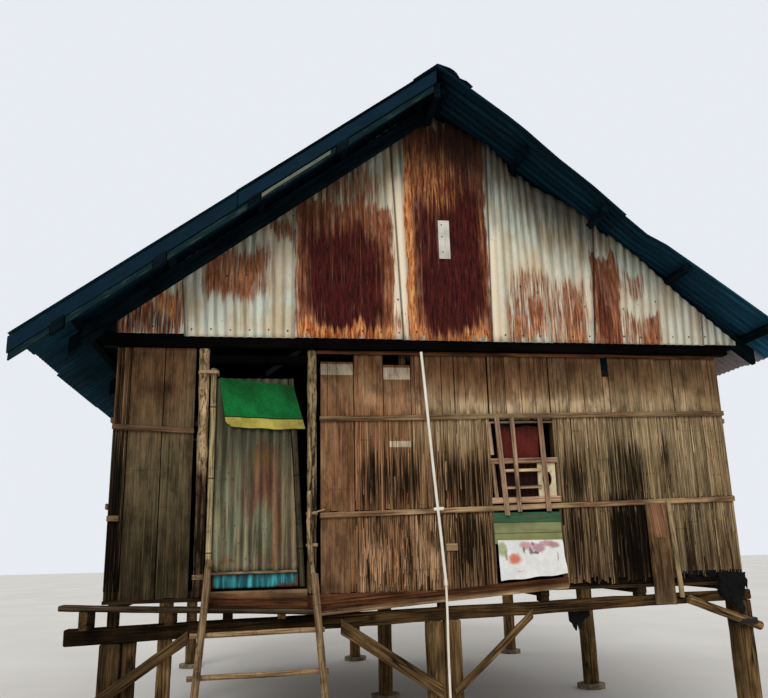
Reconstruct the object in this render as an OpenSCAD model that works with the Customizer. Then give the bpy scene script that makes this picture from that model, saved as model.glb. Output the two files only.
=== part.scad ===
// Timber and bamboo house on posts, with a gabled roof of corrugated sheets.
// Origin on the ground under the middle post, X to the right, front wall towards -Y, Z up.

/* [House] */
// Width over the side walls
house_w = 5100; // [4800:50:5400]
// Depth over the front and back walls
house_d = 6400; // [5800:50:7000]
// Height of the floor above the ground
floor_z = 1350; // [1300:10:1450]
// Height of the wall panels above the doorway
over_door = 120; // [110:5:160]
// Thickness of a bamboo wall panel
panel_t = 25; // [18:1:32]

/* [Posts] */
// Side of a square stilt post
post_s = 145; // [125:5:160]
// Side of each of the paired posts in the middle of the front
pair_s = 125; // [110:5:135]
// Gap between two paired posts
pair_gap = 12; // [8:1:20]
// Side of the thin post beside the front left one
prop_s = 90; // [70:5:110]
// Diameter of a foot stone
stone_d = 330; // [290:10:360]
// Thickness of a foot stone
stone_t = 55; // [35:5:80]

/* [Floor frame] */
// Height of a level cross beam
beam_h = 115; // [95:5:130]
// Thickness of a cross beam
beam_t = 115; // [95:5:130]
// How far the cross beams stick out past the side walls
beam_out = 250; // [180:10:300]
// How far the front beam sags below the joists at its left end
beam_sag = 120; // [80:5:140]
// Height of the front beam at its right end
beam_thin_h = 75; // [60:5:90]
// Height of a floor joist
joist_h = 45; // [40:1:55]
// Width of a floor joist
joist_w = 70; // [50:5:90]
// Thickness of the floor boards
board_t = 25; // [20:1:32]

/* [Front step] */
// Depth of the plank along the front, left of the door and before it
plank_d = 150; // [120:5:180]
// Thickness of that plank
plank_t = 36; // [28:1:40]
// How far the plank's left end lies below the floor
plank_drop = 15; // [10:1:30]
// Fall of the plank from its left end to its right end
plank_fall = 83; // [40:1:90]
// Height of the threshold board above the floor
threshold_h = 43; // [30:1:60]
// Height of the kick board right of the door
kick_h = 88; // [60:1:100]
// Thickness of boards and strips nailed on the outside
strip_t = 22; // [16:1:26]

/* [Walls] */
// Side of a corner post
corner_s = 100; // [80:5:120]
// Width of an inner stud
stud_w = 50; // [40:5:60]
// Depth of an inner stud
stud_d = 60; // [45:5:80]
// Height of a tie beam
tie_h = 115; // [100:5:130]
// Thickness of a tie beam
tie_t = 90; // [70:5:110]
// Height of a wall plate
plate_h = 94; // [80:2:110]
// Width of a wall plate
plate_w = 90; // [70:5:110]
// Height of a bamboo strip across the wall
batten_h = 42; // [30:1:50]

/* [Doorway] */
// Distance of the doorway's middle from the left wall
door_in = 1105; // [1080:5:1130]
// Clear width between the door posts
door_w = 780; // [740:5:820]
// Height of the lintel's lower face above the floor
door_h = 1800; // [1780:5:1820]
// Width of the left door post
door_post_l = 75; // [60:1:85]
// Width of the right door post
door_post_r = 70; // [60:1:85]
// Gap between a door post and the wall panel beside it
post_gap = 26; // [20:1:35]
// Thickness of a door post
door_post_d = 90; // [80:5:110]

/* [Door] */
// Diameter of the door's bamboo stiles
stile_d = 50; // [40:1:54]
// Gap between the door and the door posts
door_gap = 10; // [8:1:14]
// Gap between the door's sheet and the top of the doorway
door_top_gap = 124; // [115:1:160]
// Height of the sheet's lower edge above the floor
door_sheet_z = 186; // [170:1:200]
// How far the free stile leans inwards at its top
stile_lean = 98; // [60:1:110]
// Depth over the waves of a corrugated sheet
wave_d = 18; // [14:1:20]
// Height of the cloth that hangs over the door
cloth_h = 420; // [360:10:460]

/* [Window] */
// Distance of the window bay's middle from the right wall
window_in = 1835; // [1800:5:1860]
// Width of the window bay
window_w = 540; // [500:5:580]
// Height of the window's lower edge above the floor
window_z = 650; // [630:5:670]
// Height of the window opening
window_h = 700; // [660:5:720]

/* [Roof] */
// Pitch of the roof
roof_pitch = 36.87; // [34:0.5:39]
// Overhang past the left wall
eave_left = 660; // [600:10:700]
// Overhang past the right wall
eave_right = 570; // [520:10:640]
// Overhang past the front and back walls
gable_out = 526; // [460:2:580]
// How much shorter the front overhang is on the right slope
verge_short = 105; // [80:5:120]
// Depth of a purlin
purlin_h = 70; // [55:1:85]
// Width of a purlin
purlin_w = 60; // [45:5:80]
// Depth of a rafter
rafter_h = 110; // [90:5:125]
// Width of a rafter
rafter_w = 60; // [50:5:80]
// Depth of the barge boards
barge_h = 150; // [120:5:180]
// Thickness of the barge boards
barge_t = 28; // [20:1:35]
// Length of each wing of the ridge cap along the slope
cap_wing = 260; // [200:10:320]

/* [Ladder] */
// Clear distance between the rails at the foot
ladder_foot_w = 880; // [820:5:920]
// Clear distance between the rails at the top
ladder_top_w = 720; // [680:5:760]
// Diameter of a rail
rail_d = 60; // [50:1:64]
// Diameter of a rung
rung_d = 44; // [34:1:50]
// Number of rungs
rung_count = 4; // [3:1:4]
// Height from one rung to the next
rung_step = 265; // [240:5:280]
// Height of the highest rung below the floor
rung_top_drop = 238; // [220:1:260]
// Lean of the ladder against the house
ladder_lean = 24.6; // [20:0.2:27]

/* [Conduit] */
// Diameter of the white conduit
conduit_d = 28; // [20:1:32]

/* [Hidden] */
$fn = 40;

seat = 0.3;
front = -house_d / 2;
back = house_d / 2;
side = house_w / 2;
wall_top = floor_z + door_h + over_door;
door_x = -side + door_in;
window_x = side - window_in;

// Stilts and floor frame
post_x = side - 70;
right_shift = 35;
joist_z = floor_z - board_t - joist_h;
beam_z = joist_z - beam_h;
beam_left = -side - beam_out;
beam_right = side + 50;
joist_edge = side - 80;
joist_count = 7;
front_y = front + beam_t;
function beam_top(x) = joist_z - beam_sag * (beam_right - x) / (beam_right - beam_left);
function beam_low(x) =
    beam_top(x) - beam_thin_h - (beam_h - beam_thin_h) * (beam_right - x) / (beam_right - beam_left);
function joist_x(i) = -joist_edge + 2 * joist_edge * i / (joist_count - 1);

// Braces at the front: how far each foot stands out, its height, the reach and the depth
brace_t = 40;
brace_lap = 10;
left_brace_out = 80;
left_brace_z = 650;
left_brace_run = 634;
left_brace_h = 92;
pair_brace_out = 35;
pair_brace_z = 620;
pair_brace_run = 771;
pair_brace_h = 112;
right_brace_z = 600;
right_brace_run = 645;
right_brace_h = 66;
pole_d = 70;
pole_out = 115;
pole_low = 55;
pole_run = 610;
pole_drop = 230;

// Plank along the front
plank_left = beam_left - 10;
plank_right = door_x + door_w / 2 + 75;
function plank_top(x) =
    floor_z - plank_drop - plank_fall * (x - plank_left) / (plank_right - plank_left);
kick_low = 110;
kick_up = 32;
bearer_w = 60;
bearer_x = [-side - 90, -side + 500, door_x + 195];

// Doorway
door_l = door_x - door_w / 2;
door_r = door_x + door_w / 2;
post_l_x = door_l - door_post_l;
post_r_x = door_r + door_post_r;
post_front = front - 20;
post_back = post_front + door_post_d;
lintel_z = floor_z + door_h;
lintel_h = 60;

// Window bay
win_l = window_x - window_w / 2;
win_r = window_x + window_w / 2;
win_z = floor_z + window_z;
win_top = win_z + window_h;

// Bamboo strips across the walls, which have sagged out of level
left_batten_z = 1282;
left_batten_fall = 31;
upper_batten_fall = 22;
upper_batten_rise = 32;
mid_batten_tilt = 42;
batten_stub = 90;
batten_stub_low = 38;
outer_step = 660;
board_in = 725;

// Roof and tie beams, whose front face lies gable_gap before the wall
gable_gap = 40;
run = cos(roof_pitch);
rise = sin(roof_pitch);
slope = tan(roof_pitch);
plate_out = side - panel_t;
plate_z = wall_top + tie_h;
plate_top = plate_z + plate_h;
roof_depth = wave_d + purlin_h + rafter_h;
ridge_z = plate_top + slope * plate_out + roof_depth / run;
function roof_z(x, d) = ridge_z - d / run - slope * abs(x);
eave_l = side + eave_left;
eave_r = side + eave_right;
roof_front = front - gable_out;
roof_back = back + gable_out;
sheet_over = 14;
purlin_count = 5;
purlin_out = 320;
rafter_count = 5;
ridge_w = 60;
ridge_h = 140;
ridge_top = roof_z(ridge_w / 2, wave_d + purlin_h);
tie_end = plate_out + plate_h / slope - 2;

// Door leaf
hinge_x = door_l + door_gap + stile_d / 2;
hinge_y = front + stile_d / 2;
threshold_z = floor_z + threshold_h;
leaf_bottom = threshold_z + 17;
leaf_top = lintel_z - door_top_gap;
free_bottom_x = door_r - door_gap - stile_d / 2;
stile_angle = atan(stile_lean / (leaf_top - leaf_bottom));
function free_x(z) = free_bottom_x - (z - leaf_bottom) * tan(stile_angle);
stile_reach = stile_d / 2 / cos(stile_angle) + seat;
sheet_front = front + 8;
sheet_back = sheet_front + wave_d;
rail_h = 40;
rail_t = 22;

// White conduit, which leans from its knee upwards
conduit_x = 15;
conduit_lean = 134;
conduit_short = 16;
knee_h = 60;
sleeve_h = 60;

// Ladder
rail_len = (floor_z + 268) / cos(ladder_lean);
ladder_dir = [0, sin(ladder_lean), cos(ladder_lean)];
ladder_x = door_x + 45;
foot_half = ladder_foot_w / 2 + rail_d / 2;
top_half = ladder_top_w / 2 + rail_d / 2;
ladder_foot_y = front - plank_d - rail_d / 2 / cos(ladder_lean) - seat
    - plank_top(ladder_x - 0.2 * foot_half - 0.8 * top_half) * tan(ladder_lean);

module block(x0, x1, y0, y1, z0, z1) {
    translate([x0, y0, z0]) cube([x1 - x0, y1 - y0, z1 - z0]);
}

// A shape drawn in X and Z, as thick as from y0 to y1
module across(y0, y1, pts) {
    translate([0, y1, 0]) rotate([90, 0, 0]) linear_extrude(y1 - y0) polygon(pts);
}

// A straight strip of one height between two points of a wall
module strip(x0, z0, x1, z1, h, y0, y1) {
    across(y0, y1, [[x0, z0 - h / 2], [x1, z1 - h / 2], [x1, z1 + h / 2], [x0, z0 + h / 2]]);
}

// A round pole from p to q
module pole(p, q, d) {
    v = q - p;
    len = norm(v);
    translate(p) rotate([0, acos(v.z / len), atan2(v.y, v.x)]) cylinder(h = len, d = d);
}

module both_sides() {
    children();
    mirror([1, 0, 0]) children();
}

module both_ends() {
    children();
    mirror([0, 1, 0]) children();
}

module square_post(x, y, s, z1) {
    block(x - s / 2, x + s / 2, y - s / 2, y + s / 2, stone_t, z1);
}

module foot_stone(x, y, d) {
    translate([x, y, 0]) cylinder(h = stone_t, d = d, $fn = 9);
}

module foot_stones() {
    color("dimgray") {
        for (y = [0, back - post_s / 2]) {
            for (x = [-post_x, 0, post_x]) {
                foot_stone(x, y, stone_d);
            }
        }
        foot_stone(-post_x + 50, front + post_s / 2, stone_d + 60);
        foot_stone(0, front + post_s / 2, stone_d + 90);
        foot_stone(post_x + right_shift, front + post_s / 2, stone_d);
    }
}

module front_posts() {
    color("dimgray") {
        left = -post_x - post_s / 2;
        square_post(-post_x, front + post_s / 2, post_s, beam_low(left));
        prop_x = -post_x + post_s / 2 + pair_gap + prop_s / 2;
        square_post(prop_x, front + 55 + prop_s / 2, prop_s, beam_low(prop_x - prop_s / 2));
        for (m = [-1, 1]) {
            x = m * (pair_gap + pair_s) / 2;
            square_post(x, front + pair_s / 2, pair_s, beam_low(x - pair_s / 2));
        }
        x = post_x + right_shift;
        square_post(x, front + post_s / 2, post_s, beam_low(x - post_s / 2));
    }
}

module rear_posts() {
    color("dimgray")
        for (x = [-post_x, 0, post_x], y = [0, back - post_s / 2]) {
            square_post(x, y, post_s, beam_z);
        }
}

module front_beam() {
    l = beam_left;
    r = beam_right;
    color("saddlebrown")
        across(front, front_y,
            [[l, beam_low(l)], [r, beam_low(r)], [r, beam_top(r)], [l, beam_top(l)]]);
}

module cross_beams() {
    color("saddlebrown") {
        block(beam_left, side + beam_out, -beam_t / 2, beam_t / 2, beam_z, joist_z);
        block(beam_left, side + beam_out, back - beam_t, back, beam_z, joist_z);
    }
}

module joist_packers() {
    color("sienna")
        for (i = [0 : joist_count - 2]) {
            l = joist_x(i) - joist_w / 2;
            r = joist_x(i) + joist_w / 2;
            across(front + 5, front_y - 5,
                [[l, beam_top(l) + seat], [r, beam_top(r) + seat], [r, joist_z], [l, joist_z]]);
        }
}

module floor_joists() {
    color("sienna")
        for (i = [0 : joist_count - 1]) {
            block(joist_x(i) - joist_w / 2, joist_x(i) + joist_w / 2,
                front, back, joist_z, joist_z + joist_h);
        }
}

module floor_boards() {
    color("peru") block(-side, side, front, back, floor_z - board_t, floor_z);
}

// A brace from its foot on a post up to the front beam
module front_brace(x, z, reach, h) {
    strip(x, z, x + reach, beam_low(x + reach) + brace_lap, h, front - brace_t, front);
}

module front_braces() {
    color("rosybrown") {
        front_brace(-post_x - left_brace_out, left_brace_z, left_brace_run, left_brace_h);
        front_brace(-pair_brace_out, pair_brace_z, -pair_brace_run, pair_brace_h);
        front_brace(pair_brace_out + 20, right_brace_z, right_brace_run, right_brace_h);
        pole_y = front - pole_d / 2 - seat;
        pole_x = post_x + right_shift + pole_out;
        pole_z = joist_z - pole_low;
        pole([pole_x - pole_run, pole_y, pole_z], [pole_x, pole_y, pole_z - pole_drop], pole_d);
    }
}

module plank_bearers() {
    color("sienna")
        for (x = bearer_x) {
            l = x - bearer_w / 2;
            r = x + bearer_w / 2;
            across(front - plank_d, front_y, [
                [l, beam_top(l) + seat], [r, beam_top(r) + seat],
                [r, plank_top(r) - plank_t - seat], [l, plank_top(l) - plank_t - seat]
            ]);
        }
}

module front_plank() {
    l = plank_left;
    r = plank_right;
    color("gray")
        across(front - plank_d, front, [
            [l, plank_top(l) - plank_t], [r, plank_top(r) - plank_t],
            [r, plank_top(r)], [l, plank_top(l)]
        ]);
}

module kick_board() {
    l = plank_right + 10;
    r = win_r + 35;
    color("tan") strip(l, floor_z - kick_low, r, floor_z + kick_up, kick_h, front - strip_t, front);
}

module threshold() {
    color("brown") {
        l = door_l + seat;
        r = door_r - seat;
        block(l, r, front, front + 60, floor_z, threshold_z);
        across(front - 30, front,
            [[l, plank_top(l) + seat], [r, plank_top(r) + seat], [r, threshold_z], [l, threshold_z]]);
    }
}

module sill_plates() {
    color("sienna") {
        t = stud_d;
        z1 = floor_z + 50;
        edge = plate_out - corner_s - seat;
        y0 = front + panel_t;
        block(-edge, post_l_x - seat, y0, y0 + t, floor_z, z1);
        block(post_r_x + seat, edge, y0, y0 + t, floor_z, z1);
        block(-edge, edge, back - panel_t - t, back - panel_t, floor_z, z1);
        for (m = [0, 1]) {
            mirror([m, 0, 0])
                block(plate_out - t, plate_out, front + panel_t + corner_s + seat,
                    back - panel_t - corner_s - seat, floor_z, z1);
        }
    }
}

module corner_posts() {
    color("sienna")
        for (m = [0, 1], n = [0, 1]) {
            mirror([m, 0, 0]) mirror([0, n, 0])
                block(plate_out - corner_s, plate_out, front + panel_t,
                    front + panel_t + corner_s, floor_z, wall_top);
        }
}

// Studs stand on the sill plates, and those of the side walls reach the plates
module wall_studs() {
    color("sienna") {
        z0 = floor_z + 50;
        y0 = front + panel_t;
        half = stud_w / 2;
        for (x = [win_l - half - 1, win_r + half + 1, (win_r + side) / 2, (post_r_x + win_l) / 2]) {
            block(x - stud_w / 2, x + stud_w / 2, y0, y0 + stud_d, z0, wall_top);
        }
        for (x = [-side / 2, 0, side / 2]) {
            block(x - stud_w / 2, x + stud_w / 2, back - panel_t - stud_d, back - panel_t, z0, wall_top);
        }
        for (m = [0, 1], k = [-1, 1]) {
            mirror([m, 0, 0])
                block(plate_out - stud_d, plate_out, k * house_d / 4 - stud_w / 2,
                    k * house_d / 4 + stud_w / 2, z0, plate_z);
        }
        for (m = [0, 1]) {
            mirror([m, 0, 0])
                block(plate_out - stud_d, plate_out, -stud_w / 2, stud_w / 2, z0, wall_top);
        }
    }
}

module door_posts() {
    color("rosybrown") {
        block(post_l_x, door_l, post_front, post_back, floor_z, wall_top);
        block(door_r, post_r_x, post_front, post_back, floor_z, wall_top);
    }
}

module lintel() {
    color("sienna")
        block(door_l, door_r, post_front + 10, post_back, lintel_z, lintel_z + lintel_h);
}

module tie_beams() {
    color("sienna") {
        both_ends()
            block(-tie_end, tie_end, front - gable_gap, front - gable_gap + tie_t, wall_top, plate_z);
        block(-plate_out, plate_out, -tie_t / 2, tie_t / 2, wall_top, plate_z);
    }
}

module wall_plates() {
    color("sienna")
        for (m = [0, 1]) {
            mirror([m, 0, 0])
                block(plate_out - plate_w, plate_out, front - gable_gap, back + gable_gap,
                plate_z, plate_top);
        }
}

module front_panels() {
    color("darkkhaki") {
        y1 = front + panel_t;
        gap = 5;
        block(-side, post_l_x - post_gap, front, y1, floor_z, wall_top);
        block(post_r_x + post_gap, win_l - seat, front, y1, floor_z, wall_top);
        block(win_l + gap, win_r - gap, front, y1, win_top, wall_top);
        block(win_r + seat, side, front, y1, floor_z, wall_top);
    }
}

// A side wall, cut back at its upper corners for the tie beams
module side_panel() {
    block(plate_out, side, front + panel_t, back - panel_t, floor_z, wall_top);
    inset = tie_t - gable_gap + 10;
    block(plate_out, side, front + inset, back - inset, wall_top, roof_z(side, roof_depth));
}

module side_panels() {
    color("darkkhaki") both_sides() side_panel();
}

module back_panels() {
    color("darkkhaki") block(-side, side, back - panel_t, back, floor_z, wall_top);
}

module front_battens() {
    color("tan") {
        y0 = front - strip_t;
        panel_r = post_l_x - post_gap;
        panel_l = post_r_x + post_gap;
        upper = win_top + batten_h / 2;
        middle = win_z - batten_h / 2;
        left = floor_z + left_batten_z;
        strip(-side, left, panel_r, left - left_batten_fall, batten_h, y0, front);
        strip(panel_l, upper - upper_batten_fall, side, upper + upper_batten_rise, batten_h, y0, front);
        strip(-side, middle - batten_stub_low, -side + batten_stub, middle - batten_stub_low,
            batten_h, y0, front);
        strip(panel_l, middle - mid_batten_tilt, side, middle + mid_batten_tilt, batten_h, y0, front);
    }
}

// Strips across the side and back walls
module outer_battens() {
    color("tan")
        for (z = [floor_z + outer_step, floor_z + 2 * outer_step]) {
            both_sides() block(side, side + strip_t, front + 20, back - 20, z, z + batten_h);
            block(-side, side, back, back + strip_t, z, z + batten_h);
        }
}

// Thin rails across the window bay, nailed on the wall panels, and bars in front of them
module window_grille() {
    color("tan") {
        y0 = front - 18;
        for (r = [[350, 44], [270, 24], [135, 24], [32, 26]]) {
            strip(win_l - 16, win_z + r[0], win_r + 22, win_z + r[0] + 8, r[1], y0, front);
        }
        y1 = front - strip_t;
        z0 = win_z - 90;
        z1 = win_top + 8;
        for (b = [[52, 100, 40], [182, 206, 34], [424, 450, 40]]) {
            across(y1 - 20, y1, [
                [win_l + b[1] - b[2] / 2, z0], [win_l + b[1] + b[2] / 2, z0],
                [win_l + b[0] + b[2] / 2, z1], [win_l + b[0] - b[2] / 2, z1]
            ]);
        }
    }
}

module window_cloth() {
    y0 = front + panel_t + seat;
    color("maroon") block(win_l + 4, win_r - 4, y0, y0 + 14, win_z - 40, win_top + 60);
}

// Pale board in the right of the window, with a half-round hole
module window_board() {
    color("wheat")
        difference() {
            block(win_r - 150, win_r, front + 4, front + 20, win_z + 50, win_z + 335);
            translate([win_r - 38, front, win_z + 185]) rotate([-90, 0, 0]) cylinder(h = 40, d = 66);
        }
}

module green_planks() {
    color("seagreen")
        for (i = [0 : 2]) {
            z = win_z - 310 + i * 83;
            block(win_l - 12, win_r + 12, front - 16, front, z, z + 81);
        }
}

module white_cloth() {
    color("white")
        across(front - 34, front - 16 - seat, [
            [win_l + 18, floor_z + 58], [win_r + 34, floor_z + 100],
            [win_r + 4, win_z - 282], [win_l + 6, win_z - 278]
        ]);
}

module hanging_boards() {
    color("tan") {
        y1 = front - strip_t;
        strip_x = side - board_in;
        across(y1 - 22, y1, [
            [strip_x - 88, floor_z - 160], [strip_x + 88, floor_z - 165],
            [strip_x + 82, win_z - 8], [strip_x - 94, win_z - 4]
        ]);
        across(y1 - 20, y1, [
            [strip_x + 124, floor_z - 110], [strip_x + 164, floor_z - 115],
            [strip_x + 124, win_z + 14], [strip_x + 90, win_z + 16]
        ]);
    }
}

// The sheets of a gable, notched round the ridge beam
module gable_sheets() {
    half = side + 170;
    z0 = wall_top + 80;
    under = wave_d + purlin_h + 1;
    n = ridge_w / 2 + seat;
    notch_z = ridge_top - ridge_h - seat;
    across(front - gable_gap - wave_d, front - gable_gap, [
        [-half, z0], [half, z0], [half, roof_z(half, under)], [n, roof_z(n, under)],
        [n, notch_z], [-n, notch_z], [-n, roof_z(n, under)], [-half, roof_z(half, under)]
    ]);
}

module front_gable_sheets() {
    color("firebrick") gable_sheets();
}

module back_gable_sheets() {
    color("firebrick") mirror([0, 1, 0]) gable_sheets();
}

module king_posts() {
    w = ridge_w / 2;
    z1 = ridge_top - ridge_h;
    color("sienna") {
        both_ends()
            block(-w, w, front - gable_gap + tie_t - stud_d, front - gable_gap + tie_t, plate_z, z1);
        block(-w, w, -stud_d / 2, stud_d / 2, plate_z, z1);
    }
}

module ridge_beam() {
    color("sienna")
        block(-ridge_w / 2, ridge_w / 2, roof_front + barge_t, roof_back - barge_t,
            ridge_top - ridge_h, ridge_top);
}

module rafter(y, reach) {
    top = wave_d + purlin_h;
    l = ridge_w / 2;
    across(y - rafter_w / 2, y + rafter_w / 2, [
        [l, roof_z(l, top)], [reach, roof_z(reach, top)],
        [reach, roof_z(reach, roof_depth)], [l, roof_z(l, roof_depth)]
    ]);
}

// Five pairs of rafters, and one more before the sheets of the front gable on the left
module rafters() {
    first = front - gable_gap + rafter_w / 2;
    color("sienna") {
        for (i = [0 : rafter_count - 1]) {
            both_sides() rafter(first - 2 * first * i / (rafter_count - 1), side + purlin_out + 40);
        }
        mirror([1, 0, 0]) rafter(front - gable_gap - wave_d - seat - rafter_w / 2, side + purlin_out - 70);
    }
}

// Purlins lie on the rafters, square to the slope
module purlin_row(y0) {
    last = (side + purlin_out) / run;
    first = 150;
    for (i = [0 : purlin_count - 1]) {
        s = first + (last - first) * i / (purlin_count - 1);
        translate([s * run, 0, ridge_z - s * rise]) rotate([0, roof_pitch, 0])
            block(-purlin_w / 2, purlin_w / 2, y0, roof_back - barge_t,
                seat - wave_d - purlin_h, -wave_d - seat);
    }
}

module purlins() {
    color("sienna") {
        purlin_row(roof_front + barge_t + verge_short);
        mirror([1, 0, 0]) purlin_row(roof_front + barge_t);
    }
}

module roof_sheets(eave, y0) {
    across(y0, roof_back + sheet_over, [
        [0, roof_z(0, wave_d)], [eave, roof_z(eave, wave_d)],
        [eave, roof_z(eave, 0)], [0, roof_z(0, 0)]
    ]);
}

module roof_sheets_left() {
    color("darkslategray") mirror([1, 0, 0]) roof_sheets(eave_l, roof_front - sheet_over);
}

module roof_sheets_right() {
    color("darkslategray") roof_sheets(eave_r, roof_front - sheet_over + verge_short);
}

module barge(eave) {
    r = eave - 12;
    across(roof_front, roof_front + barge_t, [
        [0, roof_z(0, wave_d)], [0, roof_z(0, wave_d + barge_h)],
        [r, roof_z(r, wave_d + barge_h)], [r, roof_z(r, wave_d)]
    ]);
}

// The right slope has no barge board at the front
module barge_boards() {
    color("darkslategray") {
        both_ends() mirror([1, 0, 0]) barge(eave_l);
        mirror([0, 1, 0]) barge(eave_r);
    }
}

module ridge_cap() {
    w = cap_wing * run;
    t = 14;
    color("darkslategray")
        across(roof_front - sheet_over - 10, roof_back + sheet_over + 10, [
            [-w, roof_z(w, 0)], [0, roof_z(0, 0)], [w, roof_z(w, 0)],
            [w, roof_z(w, -t)], [0, roof_z(0, -t)], [-w, roof_z(w, -t)]
        ]);
}

// Two lengths of pipe in a sleeve, standing on the middle front stone
module white_conduit() {
    y = front - strip_t - conduit_d / 2 - seat;
    knee = [conduit_x, y, floor_z + knee_h];
    color("whitesmoke") {
        pole(knee, [conduit_x - conduit_lean, y, wall_top - conduit_short], conduit_d);
        translate([knee.x, y, knee.z - sleeve_h / 2]) cylinder(h = sleeve_h, d = conduit_d + 10);
        translate([knee.x, y, stone_t]) cylinder(h = knee.z - stone_t, d = conduit_d);
    }
}

function rail_point(m, t) = [
    ladder_x + m * (foot_half + (top_half - foot_half) * t / rail_len),
    ladder_foot_y + ladder_dir.y * t,
    ladder_dir.z * t
];

// The rails' square ends stand on their outer edges
module ladder_rails() {
    start = rail_d / 2 * tan(ladder_lean) + 1;
    color("tan") {
        pole(rail_point(-1, start), rail_point(-1, rail_len), rail_d);
        pole(rail_point(1, start), rail_point(1, rail_len - 130), rail_d);
    }
}

// Rungs are tied on behind the rails
module ladder_rungs() {
    off = rail_d / 2 + rung_d / 2 + seat;
    color("tan")
        for (i = [0 : rung_count - 1]) {
            z = floor_z - rung_top_drop - i * rung_step;
            y = ladder_foot_y + z * tan(ladder_lean) + off / cos(ladder_lean);
            tilt = [0, 6 * tan(ladder_lean), 6];
            pole([ladder_x - foot_half - 25, y, z] - tilt,
                [ladder_x + foot_half - 10 + 20 * (i % 2), y, z] + tilt, rung_d);
        }
}

module rope_ring(x0, x1, y0, y1, z, h, t) {
    difference() {
        block(x0 - t, x1 + t, y0 - t, y1 + t, z, z + h);
        block(x0, x1, y0, y1, z - 1, z + h + 1);
    }
}

// Ropes round the door posts and the right front post
module post_ropes() {
    color("burlywood") {
        rope_ring(post_l_x, hinge_x + stile_d / 2 + 7, post_front, post_back, leaf_top + 25, 35, 8);
        for (z = [floor_z + 350, floor_z + 590]) {
            rope_ring(door_r, post_r_x, post_front, post_back, z, 30, 7);
        }
    }
}

module door_stiles() {
    color("tan") {
        translate([hinge_x, hinge_y, threshold_z + seat])
            cylinder(h = leaf_top + 80 - threshold_z, d = stile_d);
        translate([free_bottom_x, hinge_y, leaf_bottom + 3]) rotate([0, -stile_angle, 0])
            cylinder(h = leaf_top - leaf_bottom, d = stile_d);
    }
}

module door_rails() {
    color("tan")
        for (z = [leaf_bottom + 185, leaf_bottom + 800, leaf_top - 90]) {
            r = free_x(z + rail_h) - stile_reach;
            block(hinge_x + stile_d / 2, r, sheet_back, sheet_back + rail_t, z, z + rail_h);
        }
}

module door_sheet() {
    z0 = floor_z + door_sheet_z;
    l = hinge_x + stile_d / 2 + seat;
    color("darkgray")
        across(sheet_front, sheet_back, [
            [l, z0], [free_x(z0) - stile_reach, z0],
            [free_x(leaf_top) - stile_reach, leaf_top], [l, leaf_top]
        ]);
}

module door_lower_sheet() {
    z1 = leaf_bottom + 165;
    r = free_x(z1) - stile_reach;
    color("darkturquoise")
        block(hinge_x + stile_d / 2 + 2, r, sheet_back + seat, sheet_back + wave_d, leaf_bottom + 2, z1);
}

module door_cloth() {
    z1 = leaf_top + 4;
    z0 = z1 - cloth_h;
    y1 = front - seat;
    color("seagreen")
        across(y1 - 14, y1, [
            [hinge_x + 110, z0 + 8], [free_bottom_x + 18, z0],
            [free_x(z1) + 22, z1 - 10], [hinge_x + 48, z1]
        ]);
}

foot_stones();
front_posts();
rear_posts();
front_beam();
cross_beams();
joist_packers();
floor_joists();
floor_boards();
front_braces();
plank_bearers();
front_plank();
kick_board();
threshold();
sill_plates();
corner_posts();
wall_studs();
door_posts();
lintel();
tie_beams();
wall_plates();
front_panels();
side_panels();
back_panels();
front_battens();
outer_battens();
window_grille();
window_cloth();
window_board();
green_planks();
white_cloth();
hanging_boards();
front_gable_sheets();
back_gable_sheets();
king_posts();
ridge_beam();
rafters();
purlins();
roof_sheets_left();
roof_sheets_right();
barge_boards();
ridge_cap();
white_conduit();
ladder_rails();
ladder_rungs();
post_ropes();
door_stiles();
door_rails();
door_sheet();
door_lower_sheet();
door_cloth();
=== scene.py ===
# A timber and bamboo house on stilts, dressed around its CAD frame
import math
import random
from collections import namedtuple
from functools import lru_cache

import bmesh
import bpy
import numpy as np
from mathutils import Matrix, Vector, noise


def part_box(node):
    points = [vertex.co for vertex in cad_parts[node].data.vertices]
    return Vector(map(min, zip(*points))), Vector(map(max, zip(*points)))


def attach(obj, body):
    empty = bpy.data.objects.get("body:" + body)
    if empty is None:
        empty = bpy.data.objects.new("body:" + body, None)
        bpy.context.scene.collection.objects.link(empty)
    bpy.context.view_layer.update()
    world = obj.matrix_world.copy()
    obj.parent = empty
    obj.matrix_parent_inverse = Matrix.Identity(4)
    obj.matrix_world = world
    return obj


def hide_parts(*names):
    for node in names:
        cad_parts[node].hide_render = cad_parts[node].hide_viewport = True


# Without a seed this noise follows the clock, and each run would wear the timbers differently
noise.seed_set(1)

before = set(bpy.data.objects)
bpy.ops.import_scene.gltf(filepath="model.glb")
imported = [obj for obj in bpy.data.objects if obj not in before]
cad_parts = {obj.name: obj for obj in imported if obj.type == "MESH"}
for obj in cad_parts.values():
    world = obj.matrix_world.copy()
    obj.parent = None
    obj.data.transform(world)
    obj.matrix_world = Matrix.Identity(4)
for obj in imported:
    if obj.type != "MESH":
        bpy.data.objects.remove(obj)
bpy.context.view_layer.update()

# Measures of the frame, in metres
panels_low, panels_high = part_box("front_panels")
FRONT, FLOOR = panels_low.y, panels_low.z
SIDE, WALL_TOP = panels_high.x, panels_high.z
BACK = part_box("back_panels")[1].y
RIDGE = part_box("roof_sheets_left")[1].z
PITCH = math.radians(36.87)
SLOPE = math.tan(PITCH)
# From one wave of the roofing iron to the next, and what each sheet covers beside its lap
WAVE, COVER = 0.076, 0.76


def under_roof(x, depth):
    """The height at x of the level that lies depth below the roof's upper face."""
    return RIDGE - depth / math.cos(PITCH) - SLOPE * abs(x)


def shown(name, data):
    """A new object of the scene."""
    made = bpy.data.objects.new(name, data)
    bpy.context.scene.collection.objects.link(made)
    return made


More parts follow.
